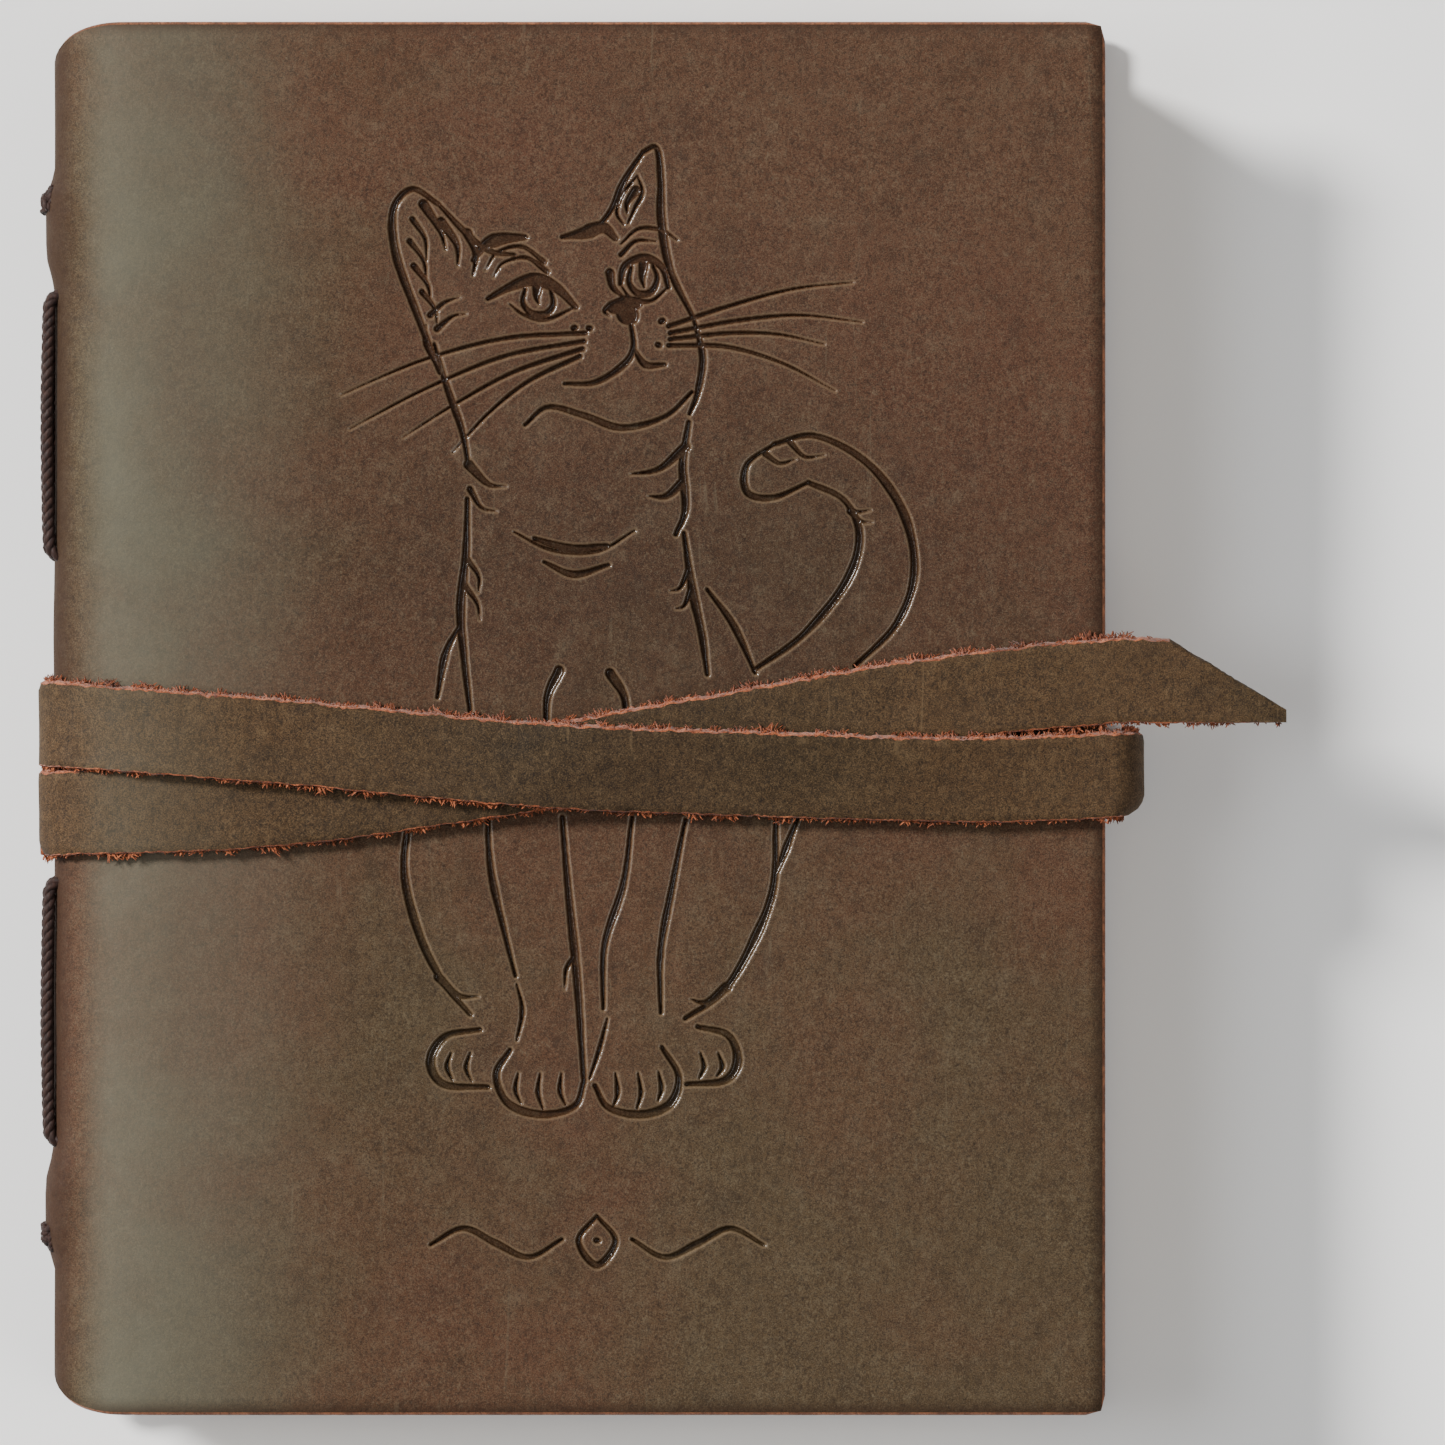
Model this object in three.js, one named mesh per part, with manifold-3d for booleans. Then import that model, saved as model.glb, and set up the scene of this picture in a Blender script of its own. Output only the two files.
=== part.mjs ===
// Leather-bound notebook with a wrap strap, lying on its back cover, front cover up.
// Millimetres, +Z up, spine towards -X, head of the book towards +Y.
// The book is sewn in two halves that open about the middle of the spine. The strap is
// one leather thong sewn to the back cover; it is cut here into rigid runs, one for each
// stretch between two bends, with a small gap in the middle of every bend.
import * as THREE from "three";
import { mergeVertices } from "three/addons/utils/BufferGeometryUtils.js";
import Module from "manifold-3d";

const wasm = await Module();
wasm.setup();

// Driving dimensions.
const COVER_WIDTH = 153.2;
const COVER_HEIGHT = 203.2;
const LEATHER = 2.0;
const STRAP_WIDTH = 12.4;
const STRAP_THICKNESS = 2.0;
const GAP = 0.3;
const SIGNATURES = 6;
const SIGNATURE_THICKNESS = 3.7;
const PAGE_MARGIN = 4.1;
const SHOULDER_RADIUS = 7;
const OUTER_FOLD_SETBACK = 2.9;
const SPINE_CORNER_RADIUS = 6.5;
const FORE_CORNER_RADIUS = 1.2;
const THREAD_RADIUS = 0.9;
const HOLE_RADIUS = THREAD_RADIUS + GAP;
const BEND_STEPS = 5;
const FOLD_STEPS = 8;
const ROD_SIDES = 8;
const SLOT_DEPTH = 4;
const THREAD_INSET = 2.2;
const DRILL_LENGTH = 8;
// Taller than the whole book, so it cuts right through it.
const CUTTER_LOW = -10;
const CUTTER_DEPTH = 60;
const CUTTER_CURVE_STEPS = 6;

// Heights, from the table up. The strap passes under the back cover, so the book lies on it.
const BACK_BOTTOM = STRAP_THICKNESS + GAP;
const BACK_TOP = BACK_BOTTOM + LEATHER;
const BLOCK_HEIGHT = SIGNATURES * (SIGNATURE_THICKNESS + GAP) + GAP;
const FRONT_BOTTOM = BACK_TOP + BLOCK_HEIGHT;
const FRONT_TOP = FRONT_BOTTOM + LEATHER;
const SPINE_MIDDLE = (BACK_BOTTOM + FRONT_TOP) / 2;

// Sewing: where the thread passes through the spine, and its runs.
const KNOT_Y = 75.8;
const LONG_STITCH_OUTER_Y = 62.1;
const LONG_STITCH_INNER_Y = 23.6;
const KNOT_RADIUS = 1.3;
const KNOT_HALF_LENGTH = 2.7;

// Strap centreline.
const HALF_STRAP = STRAP_THICKNESS / 2;
const SPINE_X = -COVER_WIDTH / 2;
const FORE_X = COVER_WIDTH / 2;
const STRAP_SPINE_X = SPINE_X - GAP - HALF_STRAP;
const STRAP_FORE_X = FORE_X + 4.6;
const STRAP_BACK_Z = HALF_STRAP;
const TAIL_Z = FRONT_TOP + GAP + HALF_STRAP;
const FRONT_RUN_Z = TAIL_Z + STRAP_THICKNESS + GAP;
const SPINE_BEND = SHOULDER_RADIUS + GAP + HALF_STRAP;
const FORE_BEND = 5;
const ANCHOR_END_X = 34;
const ANCHOR_STEPS = 6;
const LONG_RUN_STEPS = 14;
const TAIL_STEPS = 16;

// Sideways drift of the strap's middle along each run, as [x, y].
const ANCHOR_DRIFT = [[-78, -0.7], [34, 7.9]];
const FRONT_DRIFT = [[-78, -0.7], [-8, -6.6], [17.5, -7.8], [57, -9.0], [82, -8.6]];
const BACK_DRIFT = [[-78, -13.8], [82, -8.6]];
const TAIL_DRIFT = [[-78, -13.8], [-45, -12.5], [-13, -8.3], [10, -4.4], [49, 2.4], [75, 5.5], [86, 5.9]];
const TAIL_CUT_X = 85.6;
const TAIL_TIP_X = 103;
const TAIL_TIP_WIDTH = 1.9;

// The box of the whole object is centred on the origin.
const KNOT_OUTER_X = SPINE_X - GAP - 2 * KNOT_RADIUS;
const CENTRE_X = (KNOT_OUTER_X + TAIL_TIP_X) / 2;

// Materials.
const coverLeather = new THREE.MeshStandardMaterial({ color: 0x5c4a38, roughness: 0.62, metalness: 0 });
const strapLeather = new THREE.MeshStandardMaterial({ color: 0x55422c, roughness: 0.72, metalness: 0 });
const paper = new THREE.MeshStandardMaterial({ color: 0xe6dcc4, roughness: 0.9, metalness: 0 });
const waxedThread = new THREE.MeshStandardMaterial({ color: 0x2e1d18, roughness: 0.6, metalness: 0 });

const book = new THREE.Group();
const placed = new THREE.Group();
placed.position.x = -CENTRE_X;
book.add(placed);

function addPiece(name, geometry, material) {
  const mesh = new THREE.Mesh(geometry, material);
  mesh.name = name;
  placed.add(mesh);
}

// Booleans on closed geometries.
function toSolid(geometry) {
  const bare = geometry.clone();
  bare.deleteAttribute("normal");
  bare.deleteAttribute("uv");
  const merged = mergeVertices(bare, 1e-4);
  const mesh = new wasm.Mesh({
    numProp: 3,
    vertProperties: new Float32Array(merged.attributes.position.array),
    triVerts: new Uint32Array(merged.index.array),
  });
  return new wasm.Manifold(mesh);
}

function toGeometry(solid) {
  const mesh = solid.getMesh();
  const geometry = new THREE.BufferGeometry();
  geometry.setAttribute("position", new THREE.BufferAttribute(mesh.vertProperties, 3));
  geometry.setIndex(new THREE.BufferAttribute(mesh.triVerts, 1));
  geometry.computeVertexNormals();
  return geometry;
}

// An outline in the XZ plane, extruded along Y between yLow and yHigh.
function extrudeAlongY(points, yLow, yHigh) {
  const shape = new THREE.Shape(points.map(([x, z]) => new THREE.Vector2(x, z)));
  const geometry = new THREE.ExtrudeGeometry(shape, { depth: yHigh - yLow, bevelEnabled: false });
  geometry.rotateX(Math.PI / 2);
  geometry.translate(0, yHigh, 0);
  return geometry;
}

// Points on an arc, angles in degrees.
function arc(centreX, centreZ, radius, from, to, steps) {
  const points = [];
  for (let i = 0; i <= steps; i += 1) {
    const angle = THREE.MathUtils.degToRad(from + ((to - from) * i) / steps);
    points.push([centreX + radius * Math.cos(angle), centreZ + radius * Math.sin(angle)]);
  }
  return points;
}

// A rod of circular section along X or Y.
function rod(radius, length, alongX, x, y, z) {
  const geometry = new THREE.CylinderGeometry(radius, radius, length, ROD_SIDES);
  if (alongX) {
    geometry.rotateZ(Math.PI / 2);
  }
  geometry.translate(x, y, z);
  return toSolid(geometry);
}

// Height of the middle of a signature, counted from the front cover.
function signatureHeight(index) {
  return FRONT_BOTTOM - GAP - SIGNATURE_THICKNESS / 2 - index * (SIGNATURE_THICKNESS + GAP);
}

// The plan outline of the cover, as a tall prism: rounded at the two ends of the spine.
function coverPlan() {
  const left = SPINE_X;
  const right = FORE_X;
  const half = COVER_HEIGHT / 2;
  const shape = new THREE.Shape();
  const big = SPINE_CORNER_RADIUS;
  const small = FORE_CORNER_RADIUS;
  shape.moveTo(left + big, -half);
  shape.lineTo(right - small, -half);
  shape.absarc(right - small, -half + small, small, -Math.PI / 2, 0, false);
  shape.absarc(right - small, half - small, small, 0, Math.PI / 2, false);
  shape.lineTo(left + big, half);
  shape.absarc(left + big, half - big, big, Math.PI / 2, Math.PI, false);
  shape.absarc(left + big, -half + big, big, Math.PI, 1.5 * Math.PI, false);
  const geometry = new THREE.ExtrudeGeometry(shape, {
    depth: CUTTER_DEPTH,
    bevelEnabled: false,
    curveSegments: CUTTER_CURVE_STEPS,
  });
  geometry.translate(0, 0, CUTTER_LOW);
  return toSolid(geometry);
}

// One half of the cover: the panel, its rounded shoulder and half of the spine.
// side is 1 for the front half and -1 for the back half.
function coverHalf(side) {
  const outerZ = side > 0 ? FRONT_TOP : BACK_BOTTOM;
  const innerZ = outerZ - side * LEATHER;
  const edgeZ = SPINE_MIDDLE + (side * GAP) / 2;
  const bendX = SPINE_X + SHOULDER_RADIUS;
  const bendZ = outerZ - side * SHOULDER_RADIUS;
  const outer = arc(bendX, bendZ, SHOULDER_RADIUS, 180, 180 - side * 90, BEND_STEPS);
  const inner = arc(bendX, bendZ, SHOULDER_RADIUS - LEATHER, 180, 180 - side * 90, BEND_STEPS).reverse();
  const outline = [
    [SPINE_X, edgeZ],
    ...outer,
    [FORE_X, outerZ],
    [FORE_X, innerZ],
    ...inner,
    [SPINE_X + LEATHER, edgeZ],
  ];
  const panel = toSolid(extrudeAlongY(outline, -COVER_HEIGHT / 2, COVER_HEIGHT / 2));
  return panel.intersect(coverPlan());
}

const HOLE_ROWS = [KNOT_Y, LONG_STITCH_OUTER_Y, LONG_STITCH_INNER_Y];

// Drills the sewing holes of signatures first to last through the spine.
function drillSpine(solid, first, last) {
  let drilled = solid;
  for (let index = first; index <= last; index += 1) {
    for (const row of HOLE_ROWS) {
      for (const sign of [-1, 1]) {
        const z = signatureHeight(index);
        const hole = rod(HOLE_RADIUS, DRILL_LENGTH, true, SPINE_X + LEATHER / 2, sign * row, z);
        drilled = drilled.subtract(hole);
      }
    }
  }
  return drilled;
}

// One gathering of folded sheets: the fold is rounded and slotted for its sewing thread.
// The first and last are set back a little, inside the rounded shoulders of the cover.
function signature(index) {
  const z = signatureHeight(index);
  const half = SIGNATURE_THICKNESS / 2;
  const isOuter = index === 0 || index === SIGNATURES - 1;
  const foldX = SPINE_X + LEATHER + GAP + (isOuter ? OUTER_FOLD_SETBACK : 0);
  const outline = [
    ...arc(foldX + half, z, half, 90, 270, FOLD_STEPS),
    [FORE_X - PAGE_MARGIN, z - half],
    [FORE_X - PAGE_MARGIN, z + half],
  ];
  const pageHalf = COVER_HEIGHT / 2 - PAGE_MARGIN;
  const block = toSolid(extrudeAlongY(outline, -pageHalf, pageHalf));
  const slot = new THREE.BoxGeometry(2 * SLOT_DEPTH, 2 * (KNOT_Y + HOLE_RADIUS), 2 * HOLE_RADIUS);
  slot.translate(foldX, 0, z);
  return block.subtract(toSolid(slot));
}

// The thread of one signature: a knot at each end, two long stitches outside, runs inside.
function sewingThread(index) {
  const z = signatureHeight(index);
  const outsideX = SPINE_X - GAP - THREAD_RADIUS;
  const insideX = SPINE_X + LEATHER + GAP + THREAD_INSET;
  const passLength = insideX - outsideX;
  const passX = (insideX + outsideX) / 2;
  const stitchLength = LONG_STITCH_OUTER_Y - LONG_STITCH_INNER_Y;
  const stitchY = (LONG_STITCH_OUTER_Y + LONG_STITCH_INNER_Y) / 2;
  const endLength = KNOT_Y - LONG_STITCH_OUTER_Y;
  const endY = (KNOT_Y + LONG_STITCH_OUTER_Y) / 2;
  const over = THREAD_RADIUS;
  let thread = rod(THREAD_RADIUS, 2 * LONG_STITCH_INNER_Y + over, false, insideX, 0, z);
  for (const sign of [-1, 1]) {
    thread = thread.add(rod(THREAD_RADIUS, stitchLength + over, false, outsideX, sign * stitchY, z));
    thread = thread.add(rod(THREAD_RADIUS, endLength + over, false, insideX, sign * endY, z));
    for (const row of HOLE_ROWS) {
      thread = thread.add(rod(THREAD_RADIUS, passLength + over, true, passX, sign * row, z));
    }
    const knot = new THREE.SphereGeometry(1, 10, 6);
    knot.scale(KNOT_RADIUS, KNOT_HALF_LENGTH, KNOT_RADIUS);
    knot.translate(SPINE_X - GAP - KNOT_RADIUS, sign * KNOT_Y, z);
    thread = thread.add(toSolid(knot));
  }
  return thread;
}

// A strap run: rectangular sections along a centreline in the XZ plane.
// Each station is [x, z, yLow, yHigh].
function strapSolid(stations) {
  const positions = [];
  const count = stations.length;
  for (let i = 0; i < count; i += 1) {
    const before = stations[Math.max(i - 1, 0)];
    const after = stations[Math.min(i + 1, count - 1)];
    const direction = new THREE.Vector2(after[0] - before[0], after[1] - before[1]).normalize();
    const offX = -direction.y * HALF_STRAP;
    const offZ = direction.x * HALF_STRAP;
    const [x, z, yLow, yHigh] = stations[i];
    positions.push(x + offX, yLow, z + offZ);
    positions.push(x + offX, yHigh, z + offZ);
    positions.push(x - offX, yHigh, z - offZ);
    positions.push(x - offX, yLow, z - offZ);
  }
  const triangles = [0, 1, 2, 0, 2, 3];
  const end = 4 * (count - 1);
  triangles.push(end, end + 2, end + 1, end, end + 3, end + 2);
  for (let i = 0; i < count - 1; i += 1) {
    for (let side = 0; side < 4; side += 1) {
      const a = 4 * i + side;
      const b = 4 * i + ((side + 1) % 4);
      triangles.push(a, a + 4, b, b, a + 4, b + 4);
    }
  }
  const geometry = new THREE.BufferGeometry();
  geometry.setAttribute("position", new THREE.Float32BufferAttribute(positions, 3));
  geometry.setIndex(triangles);
  geometry.computeVertexNormals();
  return geometry;
}

// Sideways place of the strap's middle at x.
function drift(knots, x) {
  let i = 0;
  while (i < knots.length - 2 && x > knots[i + 1][0]) {
    i += 1;
  }
  const [x0, y0] = knots[i];
  const [x1, y1] = knots[i + 1];
  const t = THREE.MathUtils.clamp((x - x0) / (x1 - x0), 0, 1);
  return y0 + (y1 - y0) * t;
}

// Gives each [x, z] point of a run its two edges.
function withEdges(points, knots) {
  return points.map(([x, z]) => {
    const y = drift(knots, x);
    return [x, z, y - STRAP_WIDTH / 2, y + STRAP_WIDTH / 2];
  });
}

// The points between the two ends of a straight stretch.
function straight(x0, x1, z, steps) {
  const points = [];
  for (let i = 1; i < steps; i += 1) {
    points.push([x0 + ((x1 - x0) * i) / steps, z]);
  }
  return points;
}

// Half a bend at one corner of the wrapped book, from one angle to another.
// towardsX and towardsZ point from the corner to the inside of the bend.
function bend(x, z, towardsX, towardsZ, from, to) {
  const r = towardsX > 0 ? SPINE_BEND : FORE_BEND;
  const trim = THREE.MathUtils.radToDeg(GAP / 2 / r);
  const direction = Math.sign(to - from);
  const start = from % 90 === 0 ? from : from + direction * trim;
  const stop = to % 90 === 0 ? to : to - direction * trim;
  return arc(x + towardsX * r, z + towardsZ * r, r, start, stop, BEND_STEPS);
}

const anchorRun = [
  [ANCHOR_END_X, STRAP_BACK_Z],
  ...straight(ANCHOR_END_X, STRAP_SPINE_X + SPINE_BEND, STRAP_BACK_Z, ANCHOR_STEPS),
  ...bend(STRAP_SPINE_X, STRAP_BACK_Z, 1, 1, -90, -135),
];
const spineRunOne = [
  ...bend(STRAP_SPINE_X, STRAP_BACK_Z, 1, 1, -135, -180),
  ...bend(STRAP_SPINE_X, FRONT_RUN_Z, 1, -1, 180, 135),
];
const frontRun = [
  ...bend(STRAP_SPINE_X, FRONT_RUN_Z, 1, -1, 135, 90),
  ...straight(STRAP_SPINE_X + SPINE_BEND, STRAP_FORE_X - FORE_BEND, FRONT_RUN_Z, LONG_RUN_STEPS),
  ...bend(STRAP_FORE_X, FRONT_RUN_Z, -1, -1, 90, 45),
];
const foreRun = [
  ...bend(STRAP_FORE_X, FRONT_RUN_Z, -1, -1, 45, 0),
  ...bend(STRAP_FORE_X, STRAP_BACK_Z, -1, 1, 0, -45),
];
const backRun = [
  ...bend(STRAP_FORE_X, STRAP_BACK_Z, -1, 1, -45, -90),
  ...straight(STRAP_FORE_X - FORE_BEND, STRAP_SPINE_X + SPINE_BEND, STRAP_BACK_Z, LONG_RUN_STEPS),
  ...bend(STRAP_SPINE_X, STRAP_BACK_Z, 1, 1, -90, -135),
];
const spineRunTwo = [
  ...bend(STRAP_SPINE_X, STRAP_BACK_Z, 1, 1, -135, -180),
  ...bend(STRAP_SPINE_X, TAIL_Z, 1, -1, 180, 135),
];
const tailRun = [
  ...bend(STRAP_SPINE_X, TAIL_Z, 1, -1, 135, 90),
  ...straight(STRAP_SPINE_X + SPINE_BEND, TAIL_CUT_X, TAIL_Z, TAIL_STEPS),
  [TAIL_CUT_X, TAIL_Z],
];

// The tail of the strap ends in a slanting cut.
function tailStations() {
  const stations = withEdges(tailRun, TAIL_DRIFT);
  const lowEdge = stations[stations.length - 1][2];
  stations.push([TAIL_TIP_X, TAIL_Z, lowEdge, lowEdge + TAIL_TIP_WIDTH]);
  return stations;
}

// Four small stitches hold the strap's end to the back cover, sunk into the leather.
const ANCHOR_STITCH_X = [19, 27];
const ANCHOR_STITCH_SPREAD = 3.1;
const ANCHOR_STITCH_LENGTH = 5;
const ANCHOR_THREAD = 0.9;

// A flat ring of thread, square in section, through the strap and the back cover.
// A thicker thread gives the room that the stitch needs.
function stitchLoop(x, y, thread) {
  const length = ANCHOR_STITCH_LENGTH + (thread - ANCHOR_THREAD);
  const low = -(thread - ANCHOR_THREAD) / 2;
  const high = BACK_TOP - low;
  const box = (width, depth, tall, dx, z) => {
    const geometry = new THREE.BoxGeometry(width, depth, tall);
    geometry.translate(x + dx, y, z);
    return toSolid(geometry);
  };
  const reach = (length - thread) / 2;
  let loop = box(length, thread, thread, 0, low + thread / 2);
  loop = loop.add(box(length, thread, thread, 0, high - thread / 2));
  loop = loop.add(box(thread, thread, high - low, -reach, (high + low) / 2));
  loop = loop.add(box(thread, thread, high - low, reach, (high + low) / 2));
  return loop;
}

const anchorStitches = [];
for (const x of ANCHOR_STITCH_X) {
  for (const sign of [-1, 1]) {
    anchorStitches.push([x, drift(ANCHOR_DRIFT, x) + sign * ANCHOR_STITCH_SPREAD]);
  }
}

let anchorSolid = toSolid(strapSolid(withEdges(anchorRun, ANCHOR_DRIFT)));
let backSolid = drillSpine(coverHalf(-1), SIGNATURES / 2, SIGNATURES - 1);
for (const [x, y] of anchorStitches) {
  const room = stitchLoop(x, y, ANCHOR_THREAD + 2 * GAP);
  anchorSolid = anchorSolid.subtract(room);
  backSolid = backSolid.subtract(room);
}

addPiece("front_cover", toGeometry(drillSpine(coverHalf(1), 0, SIGNATURES / 2 - 1)), coverLeather);
addPiece("back_cover", toGeometry(backSolid), coverLeather);
for (let index = 0; index < SIGNATURES; index += 1) {
  addPiece(`signature_${index + 1}`, toGeometry(signature(index)), paper);
  addPiece(`sewing_thread_${index + 1}`, toGeometry(sewingThread(index)), waxedThread);
}
addPiece("strap_anchor_run", toGeometry(anchorSolid), strapLeather);
addPiece("strap_spine_run_1", strapSolid(withEdges(spineRunOne, FRONT_DRIFT)), strapLeather);
addPiece("strap_front_run", strapSolid(withEdges(frontRun, FRONT_DRIFT)), strapLeather);
addPiece("strap_fore_edge_run", strapSolid(withEdges(foreRun, FRONT_DRIFT)), strapLeather);
addPiece("strap_back_run", strapSolid(withEdges(backRun, BACK_DRIFT)), strapLeather);
addPiece("strap_spine_run_2", strapSolid(withEdges(spineRunTwo, TAIL_DRIFT)), strapLeather);
addPiece("strap_tail", strapSolid(tailStations()), strapLeather);
anchorStitches.forEach(([x, y], index) => {
  addPiece(`anchor_stitch_${index + 1}`, toGeometry(stitchLoop(x, y, ANCHOR_THREAD)), waxedThread);
});

export default book;
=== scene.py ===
"""Leather wrap notebook: tooled soft cover, sewn signatures and a wound strap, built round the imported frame.

Shapes are worked out in millimetres, with x and y from the middle of the cover and z up from the table,
and turned into the row frame in metres when a mesh is made.
"""
import math
import random

import bmesh
import bpy
import numpy as np
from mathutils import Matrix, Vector, noise


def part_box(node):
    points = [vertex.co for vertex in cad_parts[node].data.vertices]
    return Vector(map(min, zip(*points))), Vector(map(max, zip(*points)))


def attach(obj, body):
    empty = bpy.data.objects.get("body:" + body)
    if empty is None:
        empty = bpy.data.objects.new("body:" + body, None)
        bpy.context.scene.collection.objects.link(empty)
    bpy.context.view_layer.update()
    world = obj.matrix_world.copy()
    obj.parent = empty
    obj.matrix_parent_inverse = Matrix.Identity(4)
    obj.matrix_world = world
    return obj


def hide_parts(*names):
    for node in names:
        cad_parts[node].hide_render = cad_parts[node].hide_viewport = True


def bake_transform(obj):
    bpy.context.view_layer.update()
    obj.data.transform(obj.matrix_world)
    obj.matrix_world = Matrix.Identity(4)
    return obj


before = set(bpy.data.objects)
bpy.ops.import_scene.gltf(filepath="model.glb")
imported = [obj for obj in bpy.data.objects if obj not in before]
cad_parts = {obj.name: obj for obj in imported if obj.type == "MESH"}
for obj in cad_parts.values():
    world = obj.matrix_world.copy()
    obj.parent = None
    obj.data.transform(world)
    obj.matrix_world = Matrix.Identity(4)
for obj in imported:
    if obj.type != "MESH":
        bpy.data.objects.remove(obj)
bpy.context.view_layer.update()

# ---------------------------------------------------------------- measures taken from the frame
MM = 1000.0


def box_mm(node):
    """The two corners of a node's box in millimetres."""
    return [[v * MM for v in corner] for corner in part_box(node)]


front_low, front_high = box_mm("front_cover")
CENTRE_X = (front_low[0] + front_high[0]) / 2
HALF_WIDTH = (front_high[0] - front_low[0]) / 2
HALF_HEIGHT = (front_high[1] - front_low[1]) / 2
FRONT_TOP = front_high[2]
BACK_BOTTOM = box_mm("back_cover")[0][2]
MIDDLE_Z = (FRONT_TOP + BACK_BOTTOM) / 2
SPINE_SWELL = 0.35
SPINE_X = -HALF_WIDTH - SPINE_SWELL
FORE_X = HALF_WIDTH
LEATHER = 2.0
SIGNATURES = 6


def row_point(x, y, z):
    return ((x + CENTRE_X) / MM, y / MM, z / MM)


def smooth(low, high, value):
    t = np.clip((value - low) / (high - low), 0.0, 1.0)
    return t * t * (3 - 2 * t)


def wobble(x, y, z, scale):
    return noise.noise(Vector((x * scale, y * scale, z * scale)))


# ---------------------------------------------------------------- camera
PHOTO_WIDTH = 210.8
CAMERA_HEIGHT = 2600.0
camera_data = bpy.data.cameras.new("camera")
camera_data.sensor_width = 36.0
camera_data.lens = 36.0 * (CAMERA_HEIGHT - FRONT_TOP) / PHOTO_WIDTH
camera = bpy.data.objects.new("camera", camera_data)
camera.location = row_point(20.8, -0.6, CAMERA_HEIGHT)
bpy.context.collection.objects.link(camera)
bpy.context.scene.camera = camera

# ---------------------------------------------------------------- mesh making


def make_object(name, vertices, faces, materials, face_slots, sharp=None, values=None):
    """A smooth-shaded mesh object from millimetre vertices; values are point attributes by name."""
    mesh = bpy.data.meshes.new(name)
    points = [row_point(*v) for v in vertices]
    mesh.from_pydata(points, [], faces)
    for material in materials:
        mesh.materials.append(material)
    mesh.polygons.foreach_set("material_index", face_slots)
    for key, data in (values or {}).items():
        attribute = mesh.attributes.new(key, "FLOAT", "POINT")
        attribute.data.foreach_set("value", np.asarray(data, np.float32))
    mesh.polygons.foreach_set("use_smooth", [True] * len(mesh.polygons))
    mesh.validate()
    mesh.update()
    if sharp is not None:
        mesh.set_sharp_from_angle(angle=math.radians(sharp))
    made = bpy.data.objects.new(name, mesh)
    bpy.context.collection.objects.link(made)
    return made


class MeshParts:
    """Collects vertices, faces, face slots and point values from several shapes."""

    def __init__(self, *value_names):
        self.vertices = []
        self.faces = []
        self.slots = []
        self.values = {name: [] for name in value_names}

    def add(self, vertices, faces, slot=0):
        """Adds one shape, with all its point values at zero."""
        base = len(self.vertices)
        self.vertices.extend(vertices)
        for face in faces:
            self.faces.append([base + i for i in face])
            self.slots.append(slot)
        for kept in self.values.values():
            kept.extend([0.0] * len(vertices))

    def build(self, name, materials, sharp=None):
        return make_object(name, self.vertices, self.faces, materials, self.slots, sharp, self.values)


def catmull(points, spacing):
    """Points every spacing along a smooth curve through the given ones."""
    pts = [np.array(p, float) for p in points]
    pts = [2 * pts[0] - pts[1], *pts, 2 * pts[-1] - pts[-2]]
    dense = []
    for i in range(1, len(pts) - 2):
        p0, p1, p2, p3 = pts[i - 1 : i + 3]
        steps = max(2, int(np.linalg.norm(p2 - p1) / spacing * 1.5))
        for k in range(steps):
            t = k / steps
            dense.append(
                0.5
                * (
                    2 * p1
                    + (p2 - p0) * t
                    + (2 * p0 - 5 * p1 + 4 * p2 - p3) * t * t
                    + (3 * p1 - p0 - 3 * p2 + p3) * t**3
                )
            )
    dense.append(pts[-2])
    return resample(dense, spacing)


def resample(points, spacing):
    """Points evenly spaced along a line, about spacing apart."""
    pts = np.array(points, float)
    steps = np.linalg.norm(np.diff(pts, axis=0), axis=1)
    along = np.concatenate([[0], np.cumsum(steps)])
    count = max(2, int(round(along[-1] / spacing)) + 1)
    wanted = np.linspace(0, along[-1], count)
    return np.stack([np.interp(wanted, along, pts[:, k]) for k in range(pts.shape[1])], axis=1)


def directions(points):
    """The unit tangent at each point of a line."""
    tangents = np.gradient(np.asarray(points, float), axis=0)
    return tangents / np.linalg.norm(tangents, axis=1)[:, None]


def carried_frames(points, reference):
    """Two directions square to a line at each of its points, carried along it without a twist."""
    tangents = directions(points)
    side = np.cross(tangents[0], reference)
    side /= np.linalg.norm(side)
    frames = []
    for tangent in tangents:
        side = side - tangent * np.dot(side, tangent)
        side /= np.linalg.norm(side)
        frames.append((side, np.cross(tangent, side)))
    return frames


def tube(points, radii, sides):
    """A closed tube along points; radii is one number or one for each point."""
    pts = np.array(points, float)
    radii = np.broadcast_to(np.asarray(radii, float), (len(pts),))
    vertices = []
    for point, (side, up), radius in zip(pts, carried_frames(pts, [0.3, 0.5, 0.81]), radii):
        for k in range(sides):
            angle = 2 * math.pi * k / sides
            vertices.append(point + radius * (math.cos(angle) * side + math.sin(angle) * up))
    faces = []
    for i in range(len(pts) - 1):
        for k in range(sides):
            a = i * sides + k
            b = i * sides + (k + 1) % sides
            faces.append([a, b, b + sides, a + sides])
    faces.append(list(range(sides))[::-1])
    last = (len(pts) - 1) * sides
    faces.append([last + k for k in range(sides)])
    return vertices, faces


# ---------------------------------------------------------------- materials


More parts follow.
